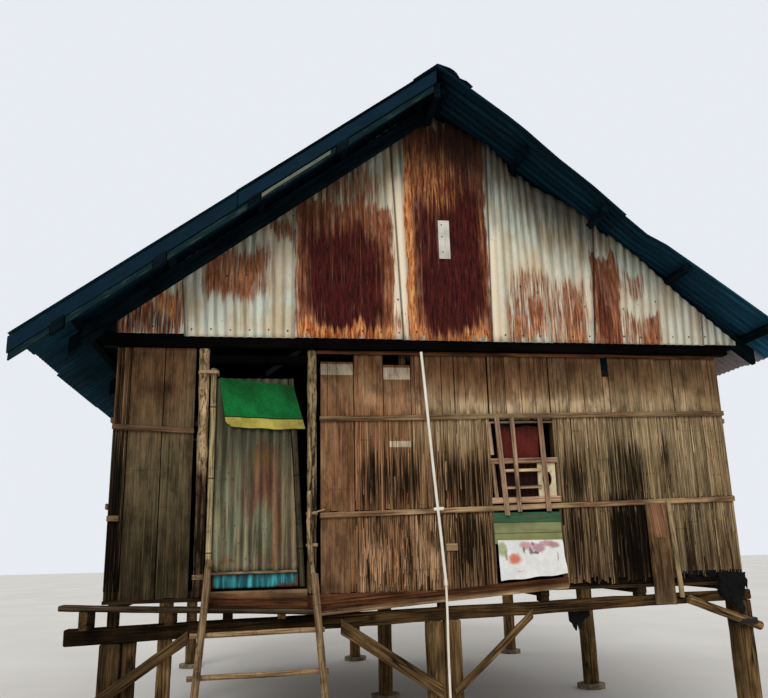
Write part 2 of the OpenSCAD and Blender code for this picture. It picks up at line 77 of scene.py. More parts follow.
def place_camera():
    """Stands the camera where the photograph was taken from."""
    yaw, pitch, roll = 0.153443, 0.237954, -0.0229906
    eye, focal, middle, picture = (-1.35685, -9.2140, 1.70149), 757.092, 361.691, (768, 698)
    ahead = Vector((math.sin(yaw) * math.cos(pitch), math.cos(yaw) * math.cos(pitch), math.sin(pitch)))
    level = Vector((math.cos(yaw), -math.sin(yaw), 0))
    upright = level.cross(ahead)
    right = level * math.cos(roll) + upright * math.sin(roll)
    up = upright * math.cos(roll) - level * math.sin(roll)
    camera = shown("photo_camera", bpy.data.cameras.new("photo_camera"))
    camera.matrix_world = Matrix.Translation(eye) @ Matrix((right, up, -ahead)).transposed().to_4x4()
    camera.data.sensor_width = 36
    camera.data.lens = focal * 36 / picture[0]
    camera.data.shift_y = (middle - picture[1] / 2) / picture[0]
    bpy.context.scene.camera = camera


place_camera()


# Nodes

def reckoned(operation, turned=False):
    return lambda self, other: calc(operation, *((other, self) if turned else (self, other)))


class Value:
    """An output in the tree in hand, which can be reckoned with like a number."""
    tree = material = None
    __add__, __radd__ = reckoned("ADD"), reckoned("ADD", True)
    __sub__, __rsub__ = reckoned("SUBTRACT"), reckoned("SUBTRACT", True)
    __mul__, __truediv__ = reckoned("MULTIPLY"), reckoned("DIVIDE")

    def __init__(self, socket):
        self.socket = socket

    def eased(self, low, high, to_low=0.0, to_high=1.0):
        """The value eased from one range into another."""
        return node("MapRange", {0: self, 1: low, 2: high, 3: to_low, 4: to_high}, interpolation_type="SMOOTHSTEP")


def paint(colour):
    """A colour as it looks on a screen, from 0 to 255, as a shader needs it."""
    parts = [part / 255 for part in colour]
    return *(p / 12.92 if p <= 0.04045 else ((p + 0.055) / 1.055) ** 2.4 for p in parts), 1.0


def dimmed(colour, share):
    return [part * share for part in colour]


def add(kind, inputs=None, **settings):
    """Adds a node with its properties and inputs: values of the tree are linked, and screen colours turned to paint."""
    made = Value.tree.nodes.new(kind if "Node" in kind else "ShaderNode" + kind)
    for name, value in settings.items():
        setattr(made, name, value)
    for key, value in (inputs or {}).items():
        socket = made.inputs[key]
        if isinstance(value, Value):
            Value.tree.links.new(value.socket, socket)
        else:
            socket.default_value = paint(value) if socket.type == "RGBA" and len(value) == 3 else value
    return made


def node(kind, inputs=None, output=0, **settings):
    return Value(add(kind, inputs, **settings).outputs[output])


def calc(operation, first, second=0.0, clamp=False):
    return node("Math", {0: first, 1: second}, operation=operation, use_clamp=clamp)


def vector(operation, first, second):
    return node("VectorMath", {0: first, 3 if operation == "SCALE" else 1: second}, operation=operation)


def xyz(x=0.0, y=0.0, z=0.0):
    return node("CombineXYZ", {0: x, 1: y, 2: z})


def parts_of(place):
    return [Value(socket) for socket in add("SeparateXYZ", {0: place}).outputs]


def mix(share, first, second, how="MIX"):
    return node("Mix", {0: share, 6: first, 7: second}, 2, data_type="RGBA", blend_type=how)


def layered(colour, *layers):
    """Colours laid over one another: each layer is its share and its paint."""
    for share, over in layers:
        colour = mix(share, colour, over)
    return colour


def shaded(colour, bright):
    return mix(1.0, colour, bright, "MULTIPLY")


def stretched(place, scale, shift=(0, 0, 0)):
    return node("Mapping", {"Vector": place, "Scale": scale, "Location": shift})


def grained(place, scale, detail=3.0, rough=0.55, shift=(0, 0, 0), twist=0.0):
    """Soft random values from 0 to 1, at one scale or at a scale for each axis."""
    if isinstance(scale, tuple):
        place, scale = stretched(place, scale, shift), 1.0
    return node("TexNoise", {"Vector": place, "Scale": scale, "Detail": detail, "Roughness": rough,
                             "Distortion": twist})


def drifted(place, scale, amount):
    """A soft random shift, as far as half the amount each way."""
    chance = node("TexNoise", {"Vector": place, "Scale": scale, "Detail": 3.0}, 1)
    return vector("SCALE", vector("SUBTRACT", chance, (0.5, 0.5, 0.5)), amount)


def mark(name, part="Fac"):
    """A number or vector that a piece's points carry."""
    return node("Attribute", None, part, attribute_name=name)


def object_place():
    return node("TexCoord", None, "Object")


def start(name):
    """A new material, whose tree is taken in hand."""
    Value.material = bpy.data.materials.new(name)
    Value.material.use_nodes = True
    Value.tree = Value.material.node_tree
    Value.tree.nodes.clear()


def finish(colour, roughness, height=None, depth=0.002, shine=None, **plain):
    """Closes the material in hand: its colour, roughness and bump go into one Principled shader."""
    inputs = {"Base Color": colour, "Roughness": roughness}
    inputs |= {label.replace("_", " "): value for label, value in plain.items()}
    if shine is not None:
        inputs["Specular IOR Level"] = shine
    if height is not None:
        inputs["Normal"] = node("Bump", {"Strength": 1.0, "Distance": depth, "Height": height})
    add("OutputMaterial", {0: node("BsdfPrincipled", inputs)})
    return Value.material


# Effects that several finishes share

def effect(name, inputs, outputs, make):
    """A shader group with named sockets, an input without a number being a vector. make gets and gives its values."""
    group = Value.tree = bpy.data.node_groups.new(name, "ShaderNodeTree")
    for label, value in inputs.items():
        kind = "NodeSocketVector" if value is None else "NodeSocketFloat"
        socket = group.interface.new_socket(label, in_out="INPUT", socket_type=kind)
        if value is not None:
            socket.default_value = value
    for label in outputs:
        group.interface.new_socket(label, in_out="OUTPUT", socket_type="NodeSocketFloat")
    given = [Value(socket) for socket in add("NodeGroupInput").outputs][:len(inputs)]
    add("NodeGroupOutput", dict(enumerate(make(*given))))
    return group


def use(group, **inputs):
    """Places a shader group in the material in hand and returns its outputs by name."""
    placed = add("Group", inputs, node_tree=group)
    return {socket.name: Value(socket) for socket in placed.outputs}


def fibres_and_cracks(place, fineness, cracking):
    """Fibres and drying cracks that run along the first axis of the coordinates."""
    scaled = vector("SCALE", place, fineness)
    fibre = grained(scaled, (2.2, 62, 62), 5, 0.68, twist=0.3)
    cells = node("TexVoronoi", {"Vector": stretched(scaled, (1.5, 26, 26)), "Scale": 1.0}, "Distance",
                 feature="DISTANCE_TO_EDGE")
    split = cells.eased(0.0, 0.085, 1.0, 0.0)
    reach = 1.0 - cracking
    crack = split * grained(scaled, (1.2, 7, 7), 2, shift=(3, 1, 5)).eased(reach, reach + 0.18)
    return fibre, crack, fibre * 0.6 - crack


def ragged_edge(amount, place, raggedness, sharpness):
    """Breaks the soft edge of a stain up into a ragged one. No amount gives no stain."""
    push = (grained(place, 1.0, 4, 0.6) - 0.5) * raggedness
    total = amount + push * calc("MULTIPLY", amount, 2.0, clamp=True)
    return total.eased(0.5 - sharpness, 0.5 + sharpness),


def broad_dirt(place, size, strength):
    """Broad patches of grime, for multiplying a colour."""
    return grained(place, size, 5, 0.6).eased(0.3, 0.68).eased(0.0, 1.0, 1.0 - strength, 1.0),


def threads_of(place, threads):
    """The threads of a cloth in its own flat coordinates, in metres."""
    warp, weft = (calc("ABSOLUTE", calc("SINE", part * threads)) for part in parts_of(place)[:2])
    return warp * weft, grained(place, (40, 300, 1), 3)


WOOD_GRAIN = effect("wood_grain", {"Vector": None, "Fineness": 1.0, "Cracking": 0.5}, ("Fibre", "Crack", "Height"),
                    fibres_and_cracks)
STAIN_EDGE = effect("stain_edge", {"Amount": 0.0, "Vector": None, "Raggedness": 0.8, "Sharpness": 0.2}, ("Mask",),
                    ragged_edge)
GRIME = effect("grime", {"Vector": None, "Size": 1.0, "Strength": 0.4}, ("Shade",), broad_dirt)
WEAVE = effect("weave", {"Vector": None, "Threads": 900.0}, ("Height", "Thread"), threads_of)


def stain(label, place, scale, ragged, sharp, shift=(0, 0, 0)):
    """The ragged mask of a stain that the points carry."""
    return use(STAIN_EDGE, Amount=mark(label), Vector=stretched(place, scale, shift), Raggedness=ragged,
               Sharpness=sharp)["Mask"]


def grime(place, size, strength):
    return use(GRIME, Vector=place, Size=size, Strength=strength)["Shade"]


# Finishes

def timber_finish(name, light, dark, cracking=0.45, dirt=0.45, shine=0.05, fineness=1.0, mottle=0.0):
    """Weathered wood whose fibres follow each timber. Marks may bleach or darken a part of it; the darkening is mostly
    painted shade, partly damp.
    """
    start(name)
    grain = mark("grain", "Vector")
    wood = use(WOOD_GRAIN, Vector=grain, Fineness=fineness, Cracking=cracking)
    fibre = wood["Fibre"]
    broad = grained(grain, (1.3, 5, 5), shift=(2, 7, 1))
    colour = layered(mix(fibre.eased(0.34, 0.64), dark, light), (broad.eased(0.4, 0.7, 0.0, 0.55), dark),
                     (mark("bleach") * fibre.eased(0.3, 0.6, 0.55, 1.0), (190, 166, 124)))
    if mottle:
        spots = grained(grain, (14, 46, 46), 5, 0.72, (4, 4, 4))
        colour = mix(spots.eased(0.47, 0.62, 0.0, mottle), colour, (46, 32, 22))
    # The darkening mark paints shade where a timber lies in shadow, with some damp
    bright = (1.0 + mark("tone") * 0.28) * (1.0 - mark("damp") * 0.85)
    colour = shaded(colour, grime(object_place(), 3.1, dirt) * bright)
    colour = mix(wood["Crack"] * 0.9, colour, (12, 9, 6))
    return finish(colour, fibre.eased(0, 1, 0.94, 0.76), wood["Height"], 0.004, shine)


def bamboo_pole_finish(name, light, dark, ring, jointed=0.8):
    """Round bamboo: smooth skin, a dark line at each joint and grey weathering."""
    start(name)
    place, along = object_place(), mark("along")
    skin = vector("ADD", vector("SCALE", mark("around", "Vector"), 0.03), xyz(z=along))
    off = calc("ABSOLUTE", calc("FRACT", along / ring) - 0.5) * ring
    fibre = grained(skin, (80, 80, 3.5), 4, 0.65)
    spots = grained(place, 13, 4)
    colour = layered(mix(fibre.eased(0.35, 0.66), dark, light),
                     (off.eased(0.008, 0.035, 1.0, 0.0) * (0.35 * jointed), light),
                     (spots.eased(0.55, 0.72, 0.0, 0.6), dimmed(dark, 0.45)),
                     (off.eased(0.003, 0.009, 1.0, 0.0) * jointed, (30, 22, 14)))
    colour = shaded(colour, grime(place, 4.0, 0.3) * (1.0 + mark("tone") * 0.3))
    return finish(colour, fibre.eased(0, 1, 0.75, 0.5), fibre, 0.0012, 0.12)


def rectangle_mask(place, left, right, low, high, soft=0.004):
    """1 inside an upright rectangle of the front wall and 0 outside it."""
    x, _, z = parts_of(place)
    across = x.eased(left - soft, left + soft) * x.eased(right - soft, right + soft, 1.0, 0.0)
    return across * (z.eased(low - soft, low + soft) * z.eased(high - soft, high + soft, 1.0, 0.0))


def bamboo_wall_finish(name, light=(182, 146, 106), dark=(94, 68, 44), cool=(136, 123, 95), chalk=(), lines=()):
    """Split bamboo: each slat its own tone, with stains, bleached patches and torn strands where they were placed.
    Painted shade darkens it where marked, browns it under the eave and blackens its gaps.
    """
    start(name)
    place = object_place()
    slat, board, calm, warm, fray = (mark(label) for label in ("slat_tone", "board_tone", "calm", "brown", "fray"))
    own = vector("ADD", place, xyz(slat * 37.0, 0.0, slat * 37.0))
    fibre = grained(own, (190, 190, 2.6), 4, 0.72)
    broad = grained(own, (9, 9, 1.1), 4, 0.6)
    tint = grained(own, (15, 15, 0.9), 2, shift=(5, 5, 2))
    grain = fibre.eased(0.37, 0.62) * (1.0 - calm * 0.5) + calm * 0.26
    colour = layered(
        mix(grain, dark, light), (broad.eased(0.42, 0.72, 0.0, 0.6), cool),
        (tint.eased(0.54, 0.68, 0.0, 0.55), mix(grain, (84, 54, 42), (176, 128, 104))),
        (tint.eased(0.32, 0.46, 0.55, 0.0), mix(grain, (78, 52, 26), (172, 126, 74))),
        # Brown: reddish-brown stains, and the dark band under the eave, which is painted shade
        (warm * broad.eased(0.2, 0.6, 1.0, 0.6), mix(grain, (66, 38, 22), (150, 94, 62))),
        (mark("olive"), mix(grain, (66, 58, 38), (136, 124, 92))),
        (stain("pale", own, (55, 55, 4), 0.9, 0.32) * 0.85,
         mix(grain, mix(warm, (150, 124, 90), (138, 94, 64)), mix(warm, (216, 192, 156), (206, 160, 122)))),
        *((rectangle_mask(place, *edges), mix(grain, (178, 160, 132), (218, 202, 176))) for edges in chalk))
    # The darkening mark is mostly painted shade, with some damp
    damp = mark("damp") * broad.eased(0.25, 0.65, 0.98, 0.78)
    # Smooth boards are blotched and scratched
    blotch = grained(place, (13, 13, 4.5), 6, 0.68, (7, 3, 1))
    scratch = grained(place, (210, 210, 1.7), 3, 0.6, (2, 8, 3))
    colour = layered(colour, (calm * blotch.eased(0.36, 0.56, 0.62, 0.0), (52, 36, 24)),
                     (calm * blotch.eased(0.56, 0.72, 0.0, 0.42), (178, 140, 102)),
                     (calm * scratch.eased(0.58, 0.68, 0.0, 0.6), (38, 24, 15)))
    colour = shaded(colour, (1.0 + (slat * 0.27 + board * 0.16)) * (1.0 - damp))
    # Joints of the bamboo: a short dark line at the same height across one board
    off = calc("ABSOLUTE", calc("FRACT", parts_of(place)[2] / 0.42 + board * 5.3) - 0.5)
    joint = off.eased(0.005, 0.02, 0.5, 0.0) * grained(place, (9, 9, 2), 1).eased(0.5, 0.62) * (1.0 - calm)
    for left, right, height in lines:
        joint = calc("MAXIMUM", joint, rectangle_mask(place, left, right, height - 0.002, height + 0.002) * 0.55)
    # Torn strands: long dark gaps and long pale fibres side by side
    torn = grained(own, (100, 100, 1.4), 3, 0.6, (6, 1, 2))
    mould = stain("stain", own, (120, 120, 2.8), 1.6, 0.3) * torn.eased(0.36, 0.48, 0.5, 0.96)
    specks = grained(own, (120, 120, 7), 4, shift=(4, 2, 9))
    colour = layered(colour, (joint, (44, 28, 17)), (torn.eased(0.32, 0.45, 1.0, 0.0) * fray * 0.6, (206, 166, 124)),
                     (torn.eased(0.51, 0.585) * fray * 0.88, (30, 19, 11)),
                     (specks.eased(0.6, 0.74, 0.0, 0.5), (40, 28, 18)), (mould, (21, 14, 8)),
                     # Black: gaps, openings and the darkest patches, painted nearly black, mostly as shade
                     (mark("black"), (8, 6, 5)))
    return finish(colour, fibre.eased(0, 1, 0.92, 0.72), fibre, 0.003, 0.04)


def rusted_sheet_finish(name):
    """Old zinc: chalky pale sheet, brown to maroon rust that runs downwards, and orange fringes; soot and painted shade
    under the roof, a painted shadow at each lap and painted shade with dirt in the troughs.
    """
    start(name)
    flat, crest = mark("flat", "Vector"), mark("crest")
    runs = grained(flat, (46, 1.5, 1), 5, 0.66)
    fine = grained(flat, (62, 6, 1), 5, 0.72, (3, 8, 0))
    cloud = grained(flat, (5, 2.4, 1), 4, shift=(9, 4, 2))
    milky = grained(flat, (11, 3, 1), 5, 0.65, (4, 9, 2))
    run = grained(flat, (84, 0.8, 1), 4, 0.62, (8, 3, 0))
    specks = grained(flat, (60, 34, 1), 3, shift=(7, 7, 0))
    zinc = layered(mix(cloud.eased(0.38, 0.66), (206, 214, 200), (196, 178, 146)),
                   (runs.eased(0.48, 0.7, 0.0, 0.6), (136, 128, 102)),
                   # Troughs darkened: painted shade and dirt between the waves
                   (crest.eased(0.0, 0.65, 0.34, 0.0), (92, 86, 68)),
                   (mark("cream") * 0.85, (238, 222, 196)))
    deep = (mark("deep") + (runs - 0.5) * 1.6).eased(0.15, 0.8)
    glow = stain("glow", flat, (60, 3, 1), 1.7, 0.35, (1, 5, 0))
    rust = layered(mix(fine.eased(0.35, 0.68), (104, 56, 38), (172, 112, 78)),
                   (milky.eased(0.50, 0.68, 0.0, 0.6), (186, 146, 116)),
                   (deep, mix(fine.eased(0.34, 0.66), (34, 12, 14), (84, 32, 28))),
                   (glow, mix(fine.eased(0.4, 0.6), (148, 62, 28), (226, 164, 104))))
    rusty = stain("rust", flat, (60, 3.2, 1), 1.9, 0.26, (5, 1, 0))
    bare = calc("SUBTRACT", rusty, deep * 0.62, clamp=True)
    soot = stain("soot", flat, (30, 2, 1), 0.8, 0.5, (2, 2, 0))
    colour = layered(zinc, (rusty, rust), (bare * run.eased(0.60, 0.70, 0.0, 0.62), (222, 168, 124)),
                     (rusty * run.eased(0.34, 0.42, 0.5, 0.0), (52, 22, 18)),
                     (specks.eased(0.66, 0.74, 0.0, 0.85), (104, 56, 36)),
                     # Troughs darkened again: painted shade and dirt
                     (crest.eased(0.0, 0.5, 0.2, 0.0), (30, 18, 14)),
                     # Soot and painted shade under the roof, then a painted shadow line at each lap
                     (soot * 0.88, (26, 20, 15)), (mark("seam") * 0.75, (20, 13, 10)))
    return finish(colour, rusty.eased(0, 1, 0.6, 0.9), rusty * 0.6 + fine * 0.5, 0.0012, 0.07)


def dark_roof_finish(name):
    """Dark blue-green painted corrugated iron, each sheet a little different, chalked and streaked down its waves, with
    painted shade in its troughs and painted shade and light on its undersides.
    """
    start(name)
    flat = mark("flat", "Vector")
    runs = grained(flat, (26, 1.6, 1), 5, 0.62)
    each = grained(flat, (0, 0, 0.53), 0)
    rust = grained(flat, (14, 2.4, 1), 6, 0.7, (5, 5, 5))
    colour = layered(mix(runs.eased(0.4, 0.72), (11, 44, 62), (28, 70, 88)),
                     (grained(flat, (1.3, 0.8, 1), 4).eased(0.45, 0.75, 0.0, 0.6), (12, 28, 38)),
                     # Troughs darkened: painted shade and dirt between the waves
                     (mark("crest").eased(0.0, 0.6, 0.35, 0.0), (6, 16, 22)))
    # The tone mark carries the painted shade and light of the undersides
    colour = layered(shaded(colour, each.eased(0.3, 0.7, 0.92, 1.24) + mark("tone")),
                     (rust.eased(0.64, 0.76, 0.0, 0.6), (66, 44, 34)),
                     (stain("chalk", flat, (30, 9, 1), 1.3, 0.25) * 0.8, (156, 142, 140)))
    return finish(colour, runs.eased(0, 1, 0.62, 0.82), rust, 0.0008, 0.06)


def painted_board_finish(name, face, bare, wear=0.45):
    """Old paint on boards, rubbed through along the grain."""
    start(name)
    grain = mark("grain", "Vector")
    wood = use(WOOD_GRAIN, Vector=grain, Fineness=1.0, Cracking=0.35)
    fibre = wood["Fibre"]
    through = grained(grain, (6, 42, 42), 5, 0.68, (1, 1, 1)).eased(1.0 - wear, 1.0 - wear + 0.12)
    skin = mix(grained(object_place(), 6, 4).eased(0.35, 0.7, 0.0, 0.5), face, dimmed(face, 0.72))
    colour = layered(skin, (fibre.eased(0.28, 0.5, 0.45, 0.0), dimmed(face, 0.5)),
                     (through, mix(fibre.eased(0.3, 0.7), dimmed(bare, 0.62), bare)),
                     (wood["Crack"] * 0.8, (20, 16, 12)))
    colour = shaded(colour, 1.0 + mark("tone") * 0.18)
    return finish(colour, through.eased(0, 1, 0.7, 0.9), wood["Height"] - through, 0.0014, 0.06)


def door_zinc_finish(name):
    """The door's grey-green zinc with orange and brown runs, darker towards its top with soot and painted shade, and
    painted shade with dirt in its troughs.
    """
    start(name)
    flat = mark("flat", "Vector")
    runs = grained(flat, (34, 1.5, 1), 5, 0.62)
    cloud = grained(flat, (7, 2.2, 1), 4, shift=(2, 6, 0))
    fine = grained(flat, (70, 34, 1), 4)
    rusty = stain("rust", flat, (50, 2.4, 1), 1.3, 0.42)
    colour = layered(mix(runs.eased(0.36, 0.64), (70, 66, 50), (146, 138, 108)),
                     (cloud.eased(0.44, 0.66, 0.0, 0.5), (106, 122, 100)),
                     (rusty * 0.72, mix(cloud.eased(0.4, 0.6), (112, 50, 40), (140, 86, 44))),
                     # Troughs darkened as painted shade and dirt; then soot and painted shade towards the top
                     (mark("crest").eased(0.0, 0.7, 0.8, 0.0) * cloud.eased(0.3, 0.7, 1.0, 0.6), (48, 45, 34)),
                     (stain("soot", flat, (22, 2, 1), 0.6, 0.45) * 0.78, (38, 38, 26)),
                     (fine.eased(0.6, 0.7, 0.0, 0.8), (58, 44, 32)))
    return finish(colour, rusty.eased(0, 1, 0.55, 0.85), fine, 0.0008, 0.1)


def turquoise_finish(name):
    """Turquoise paint on ribbed iron, brighter where it was rubbed, brown at its ends, with painted shade in its
    troughs and a painted shadow along its top.
    """
    start(name)
    flat = mark("flat", "Vector")
    runs = grained(flat, (34, 3, 1), 4, 0.6, (4, 0, 0))
    colour = layered(mix(runs.eased(0.4, 0.64), (8, 86, 94), (66, 170, 178)),
                     # Troughs darkened as painted shade and dirt; the last layer is the painted shadow along the top
                     (mark("crest").eased(0.0, 0.7, 0.6, 0.0), (6, 44, 48)),
                     (stain("rust", flat, (40, 22, 1), 1.1, 0.2), (80, 46, 34)), (mark("damp"), (6, 20, 20)))
    return finish(colour, runs.eased(0, 1, 0.4, 0.65), runs, 0.0006, 0.25)


def stone_finish(name):
    start(name)
    broad, fine = grained(object_place(), 9, 6, 0.65), grained(object_place(), 60, 4)
    colour = mix(broad.eased(0.35, 0.68), (92, 80, 64), (150, 134, 110))
    colour = mix(fine.eased(0.55, 0.72, 0.0, 0.6), colour, (66, 60, 52))
    return finish(colour, fine.eased(0, 1, 0.85, 0.97), broad + fine * 0.4, 0.012)


def pipe_finish(name):
    """White plastic pipe, yellowed and with runs of dirt."""
    start(name)
    dirt = grained(object_place(), (60, 60, 2.5), 5, 0.7)
    colour = mix(grained(object_place(), 2.5).eased(0.35, 0.7), (234, 230, 218), (218, 206, 186))
    colour = mix(dirt.eased(0.55, 0.75, 0.0, 0.65), colour, (142, 122, 98))
    return finish(colour, dirt.eased(0, 1, 0.38, 0.68), dirt, 0.0004)


def rope_finish(name, light, dark):
    start(name)
    twist = calc("SINE", mark("along") * 700.0 + grained(object_place(), 120, 2) * 8.0)
    strand, fuzz = twist.eased(-0.9, 0.7), grained(object_place(), 260)
    colour = mix(fuzz.eased(0.5, 0.72, 0.0, 0.5), mix(strand, dark, light), dimmed(dark, 0.6))
    return finish(colour, fuzz.eased(0, 1, 0.85, 0.95), strand, 0.0015)


def nail_finish(name):
    start(name)
    rust = grained(object_place(), 70, 4)
    colour = mix(rust.eased(0.4, 0.65), (28, 24, 22), (88, 52, 34))
    return finish(colour, rust.eased(0.3, 0.7, 0.55, 0.9), rust, 0.0006, 0.4)


def plastic_bag_finish(name):
    start(name)
    crease = grained(object_place(), (30, 30, 18), 5, 0.6, twist=1.5)
    return finish(mix(crease.eased(0.4, 0.7), (2, 2, 2), (10, 10, 9)), crease.eased(0.2, 0.8, 0.42, 0.6), crease,
                  0.006, 0.09)


def curtain_finish(name, face):
    """Plain woven cloth with slubs, fold grime, painted shade where marked and a little sheen."""
    start(name)
    flat = mark("flat", "Vector")
    weave = use(WEAVE, Vector=flat, Threads=900.0)
    colour = mix(weave["Thread"].eased(0.3, 0.7), dimmed(face, 0.5), face)
    colour = shaded(colour, grime(flat, 9.0, 0.3) * (1.0 - mark("damp")))
    return finish(colour, weave["Thread"].eased(0, 1, 0.85, 0.72), weave["Height"], 0.0006, 0.1, Sheen_Weight=0.1,
                  Sheen_Roughness=0.5)


def banner_finish(name):
    """Green cloth with a sewn yellow band along its foot, set off by dark lines, in painted shade towards its top and
    its right.
    """
    start(name)
    flat = mark("flat", "Vector")
    weave = use(WEAVE, Vector=flat, Threads=1100.0)
    across, up, _ = parts_of(flat)
    thread = weave["Thread"].eased(0.3, 0.7)
    line = calc("ABSOLUTE", up - 0.094).eased(0.003, 0.006, 1.0, 0.0)
    colour = layered(mix(thread, (5, 90, 39), (16, 132, 60)),
                     (up.eased(0.088, 0.091, 1.0, 0.0), mix(thread, (172, 158, 66), (204, 190, 96))),
                     (calc("MAXIMUM", line, up.eased(0.004, 0.009, 1.0, 0.0)), (14, 38, 24)))
    # Painted shade: darker towards the top and the right
    colour = shaded(colour, up.eased(0.16, 0.42, 1.0, 0.55) * across.eased(0.36, 0.6, 1.0, 0.7))
    # Broad grime, which also paints shade in the folds
    colour = shaded(colour, grime(flat, 5.0, 0.42))
    return finish(colour, weave["Thread"].eased(0, 1, 0.72, 0.6), weave["Height"] - line * 2.0, 0.0006, 0.1,
                  Sheen_Weight=0.04, Sheen_Roughness=0.5)


# The flowers on the white cloth: middle, half width, half height and colour
BLOOMS = [(0.130, 0.150, 0.070, 0.050, (214, 150, 128)), (0.130, 0.150, 0.046, 0.036, (206, 104, 78)),
          (0.240, 0.248, 0.062, 0.036, (196, 142, 146)), (0.345, 0.225, 0.066, 0.044, (168, 116, 134)),
          (0.420, 0.262, 0.075, 0.030, (188, 136, 140)), (0.275, 0.205, 0.020, 0.036, (112, 74, 84)),
          (0.310, 0.190, 0.046, 0.012, (96, 70, 74)), (0.480, 0.245, 0.050, 0.028, (176, 128, 128)),
          (0.030, 0.225, 0.048, 0.060, (148, 158, 96)), (0.060, 0.180, 0.016, 0.040, (128, 146, 88)),
          (0.500, 0.150, 0.010, 0.050, (186, 150, 140)), (0.170, 0.060, 0.036, 0.006, (206, 190, 184)),
          (0.300, 0.262, 0.020, 0.020, (142, 66, 84)), (0.215, 0.215, 0.012, 0.030, (120, 98, 96))]


def flowered_finish(name):
    """White cloth with loose generic flowers: a salmon one, pink and mauve ones, dark stems and green smears."""
    start(name)
    flat = mark("flat", "Vector")
    spot = vector("ADD", flat, drifted(flat, 38.0, 0.035))
    weave = use(WEAVE, Vector=flat, Threads=800.0)
    colour = mix(weave["Thread"].eased(0.3, 0.7), (222, 222, 220), (240, 240, 238))
    for x, y, wide, high, petal in BLOOMS:
        near = stretched(vector("SUBTRACT", spot, (x, y, 0)), (1 / wide, 1 / high, 0))
        far = node("VectorMath", {0: near}, "Value", operation="LENGTH")
        colour = mix(far.eased(0.55, 1.1, 0.85, 0.0), colour, petal)
    colour = shaded(colour, grime(flat, 6.0, 0.14))
    return finish(colour, weave["Thread"].eased(0, 1, 0.8, 0.7), weave["Height"], 0.0005, Sheen_Weight=0.15,
                  Sheen_Roughness=0.5)


# Geometry trees

def shape(name, inputs, make, smooth=True):
    """A geometry tree with a mesh input and named inputs. make gets them and gives the shape, which is made real."""
    tree = Value.tree = bpy.data.node_groups.new(name, "GeometryNodeTree")
    tree.interface.new_socket("Geometry", in_out="INPUT", socket_type="NodeSocketGeometry")
    for label, value in inputs.items():
        kind = "Int" if isinstance(value, int) else "Float"
        tree.interface.new_socket(label, in_out="INPUT", socket_type="NodeSocket" + kind).default_value = value
    tree.interface.new_socket("Finish", in_out="INPUT", socket_type="NodeSocketMaterial")
    tree.interface.new_socket("Geometry", in_out="OUTPUT", socket_type="NodeSocketGeometry")
    given = [Value(socket) for socket in add("NodeGroupInput").outputs][:len(inputs) + 2]
    real = node("GeometryNodeRealizeInstances", {0: make(*given[:-1])})
    smoothed = node("GeometryNodeSetShadeSmooth", {"Geometry": real, "Shade Smooth": smooth})
    coated = node("GeometryNodeSetMaterial", {"Geometry": smoothed, "Material": given[-1]})
    add("NodeGroupOutput", {0: coated})
    return tree


def named(name, kind="FLOAT"):
    """An attribute that the points carry."""
    return node("GeometryNodeInputNamedAttribute", {"Name": name}, "Attribute", data_type=kind)


def moved(geometry, offset):
    return node("GeometryNodeSetPosition", {"Geometry": geometry, "Offset": offset})


def stored(geometry, name, value, kind="FLOAT"):
    return node("GeometryNodeStoreNamedAttribute", {"Geometry": geometry, "Name": name, "Value": value}, data_type=kind,
                domain="POINT")


def position():
    return node("GeometryNodeInputPosition")


def corrugated(sheet, pitch, depth, dents, dent_size, seed):
    """Presses a flat sheet, which lies in X and Y, into waves across X, with dents."""
    wave = calc("COSINE", named("wave_across") / pitch * (2 * math.pi))
    own = vector("ADD", position(), xyz(z=seed))
    dent = (node("TexNoise", {"Vector": own, "Scale": dent_size, "Detail": 3.0}) - 0.5) * dents
    rise = wave * (depth * 0.5) + dent + named("sheet_lift")
    return moved(stored(sheet, "crest", wave * 0.5 + 0.5), xyz(z=rise))


def standing_slats(spots, columns, rows, bulge, wander):
    """Stands a bulged slat on every point, sized and turned by what the point carries, and lets it wander a little."""
    blank = node("GeometryNodeMeshCube", {"Vertices X": columns, "Vertices Y": 2, "Vertices Z": rows})
    x, y, z = parts_of(position())
    middle = 1.0 - calc("ABSOLUTE", x) * 2.0
    push = middle * calc("LESS_THAN", y, 0.0) * (bulge * -1.0)
    turn = node("FunctionNodeEulerToRotation", {0: named("slat_turn", "FLOAT_VECTOR")})
    stood = node("GeometryNodeInstanceOnPoints", {
        "Points": spots, "Instance": moved(blank, xyz(0.0, push, 0.5)), "Scale": named("slat_size", "FLOAT_VECTOR"),
        "Rotation": turn})
    own = xyz(named("slat_tone") * 91.0, 0.0, z * 2.3)
    return moved(node("GeometryNodeRealizeInstances", {0: stood}),
                 vector("MULTIPLY", drifted(own, 1.0, wander), (1.6, 1.0, 0.0)))


def swept_poles(paths, sides, step, ring, knot, unevenness):
    """Sweeps a round section along every run of points, thicker at its joints when it is bamboo."""
    curve = node("GeometryNodeMeshToCurve", {"Mesh": paths})
    curve = node("GeometryNodeResampleCurve", {"Curve": curve, "Length": step}, mode="LENGTH")
    along = node("GeometryNodeSplineParameter", None, "Length")
    off = calc("ABSOLUTE", calc("FRACT", along / ring) - 0.5) * ring
    girth = named("girth") * (off.eased(0.0, 0.022, 1.0, 0.0) * knot + 1.0)
    circle = node("GeometryNodeCurvePrimitiveCircle", {"Resolution": sides, "Radius": 1.0})
    swept = node("GeometryNodeCurveToMesh", {
        "Curve": stored(curve, "along", along), "Profile Curve": stored(circle, "around", position(), "FLOAT_VECTOR"),
        "Scale": girth, "Fill Caps": True})
    return moved(swept, drifted(position(), 9.0, unevenness))


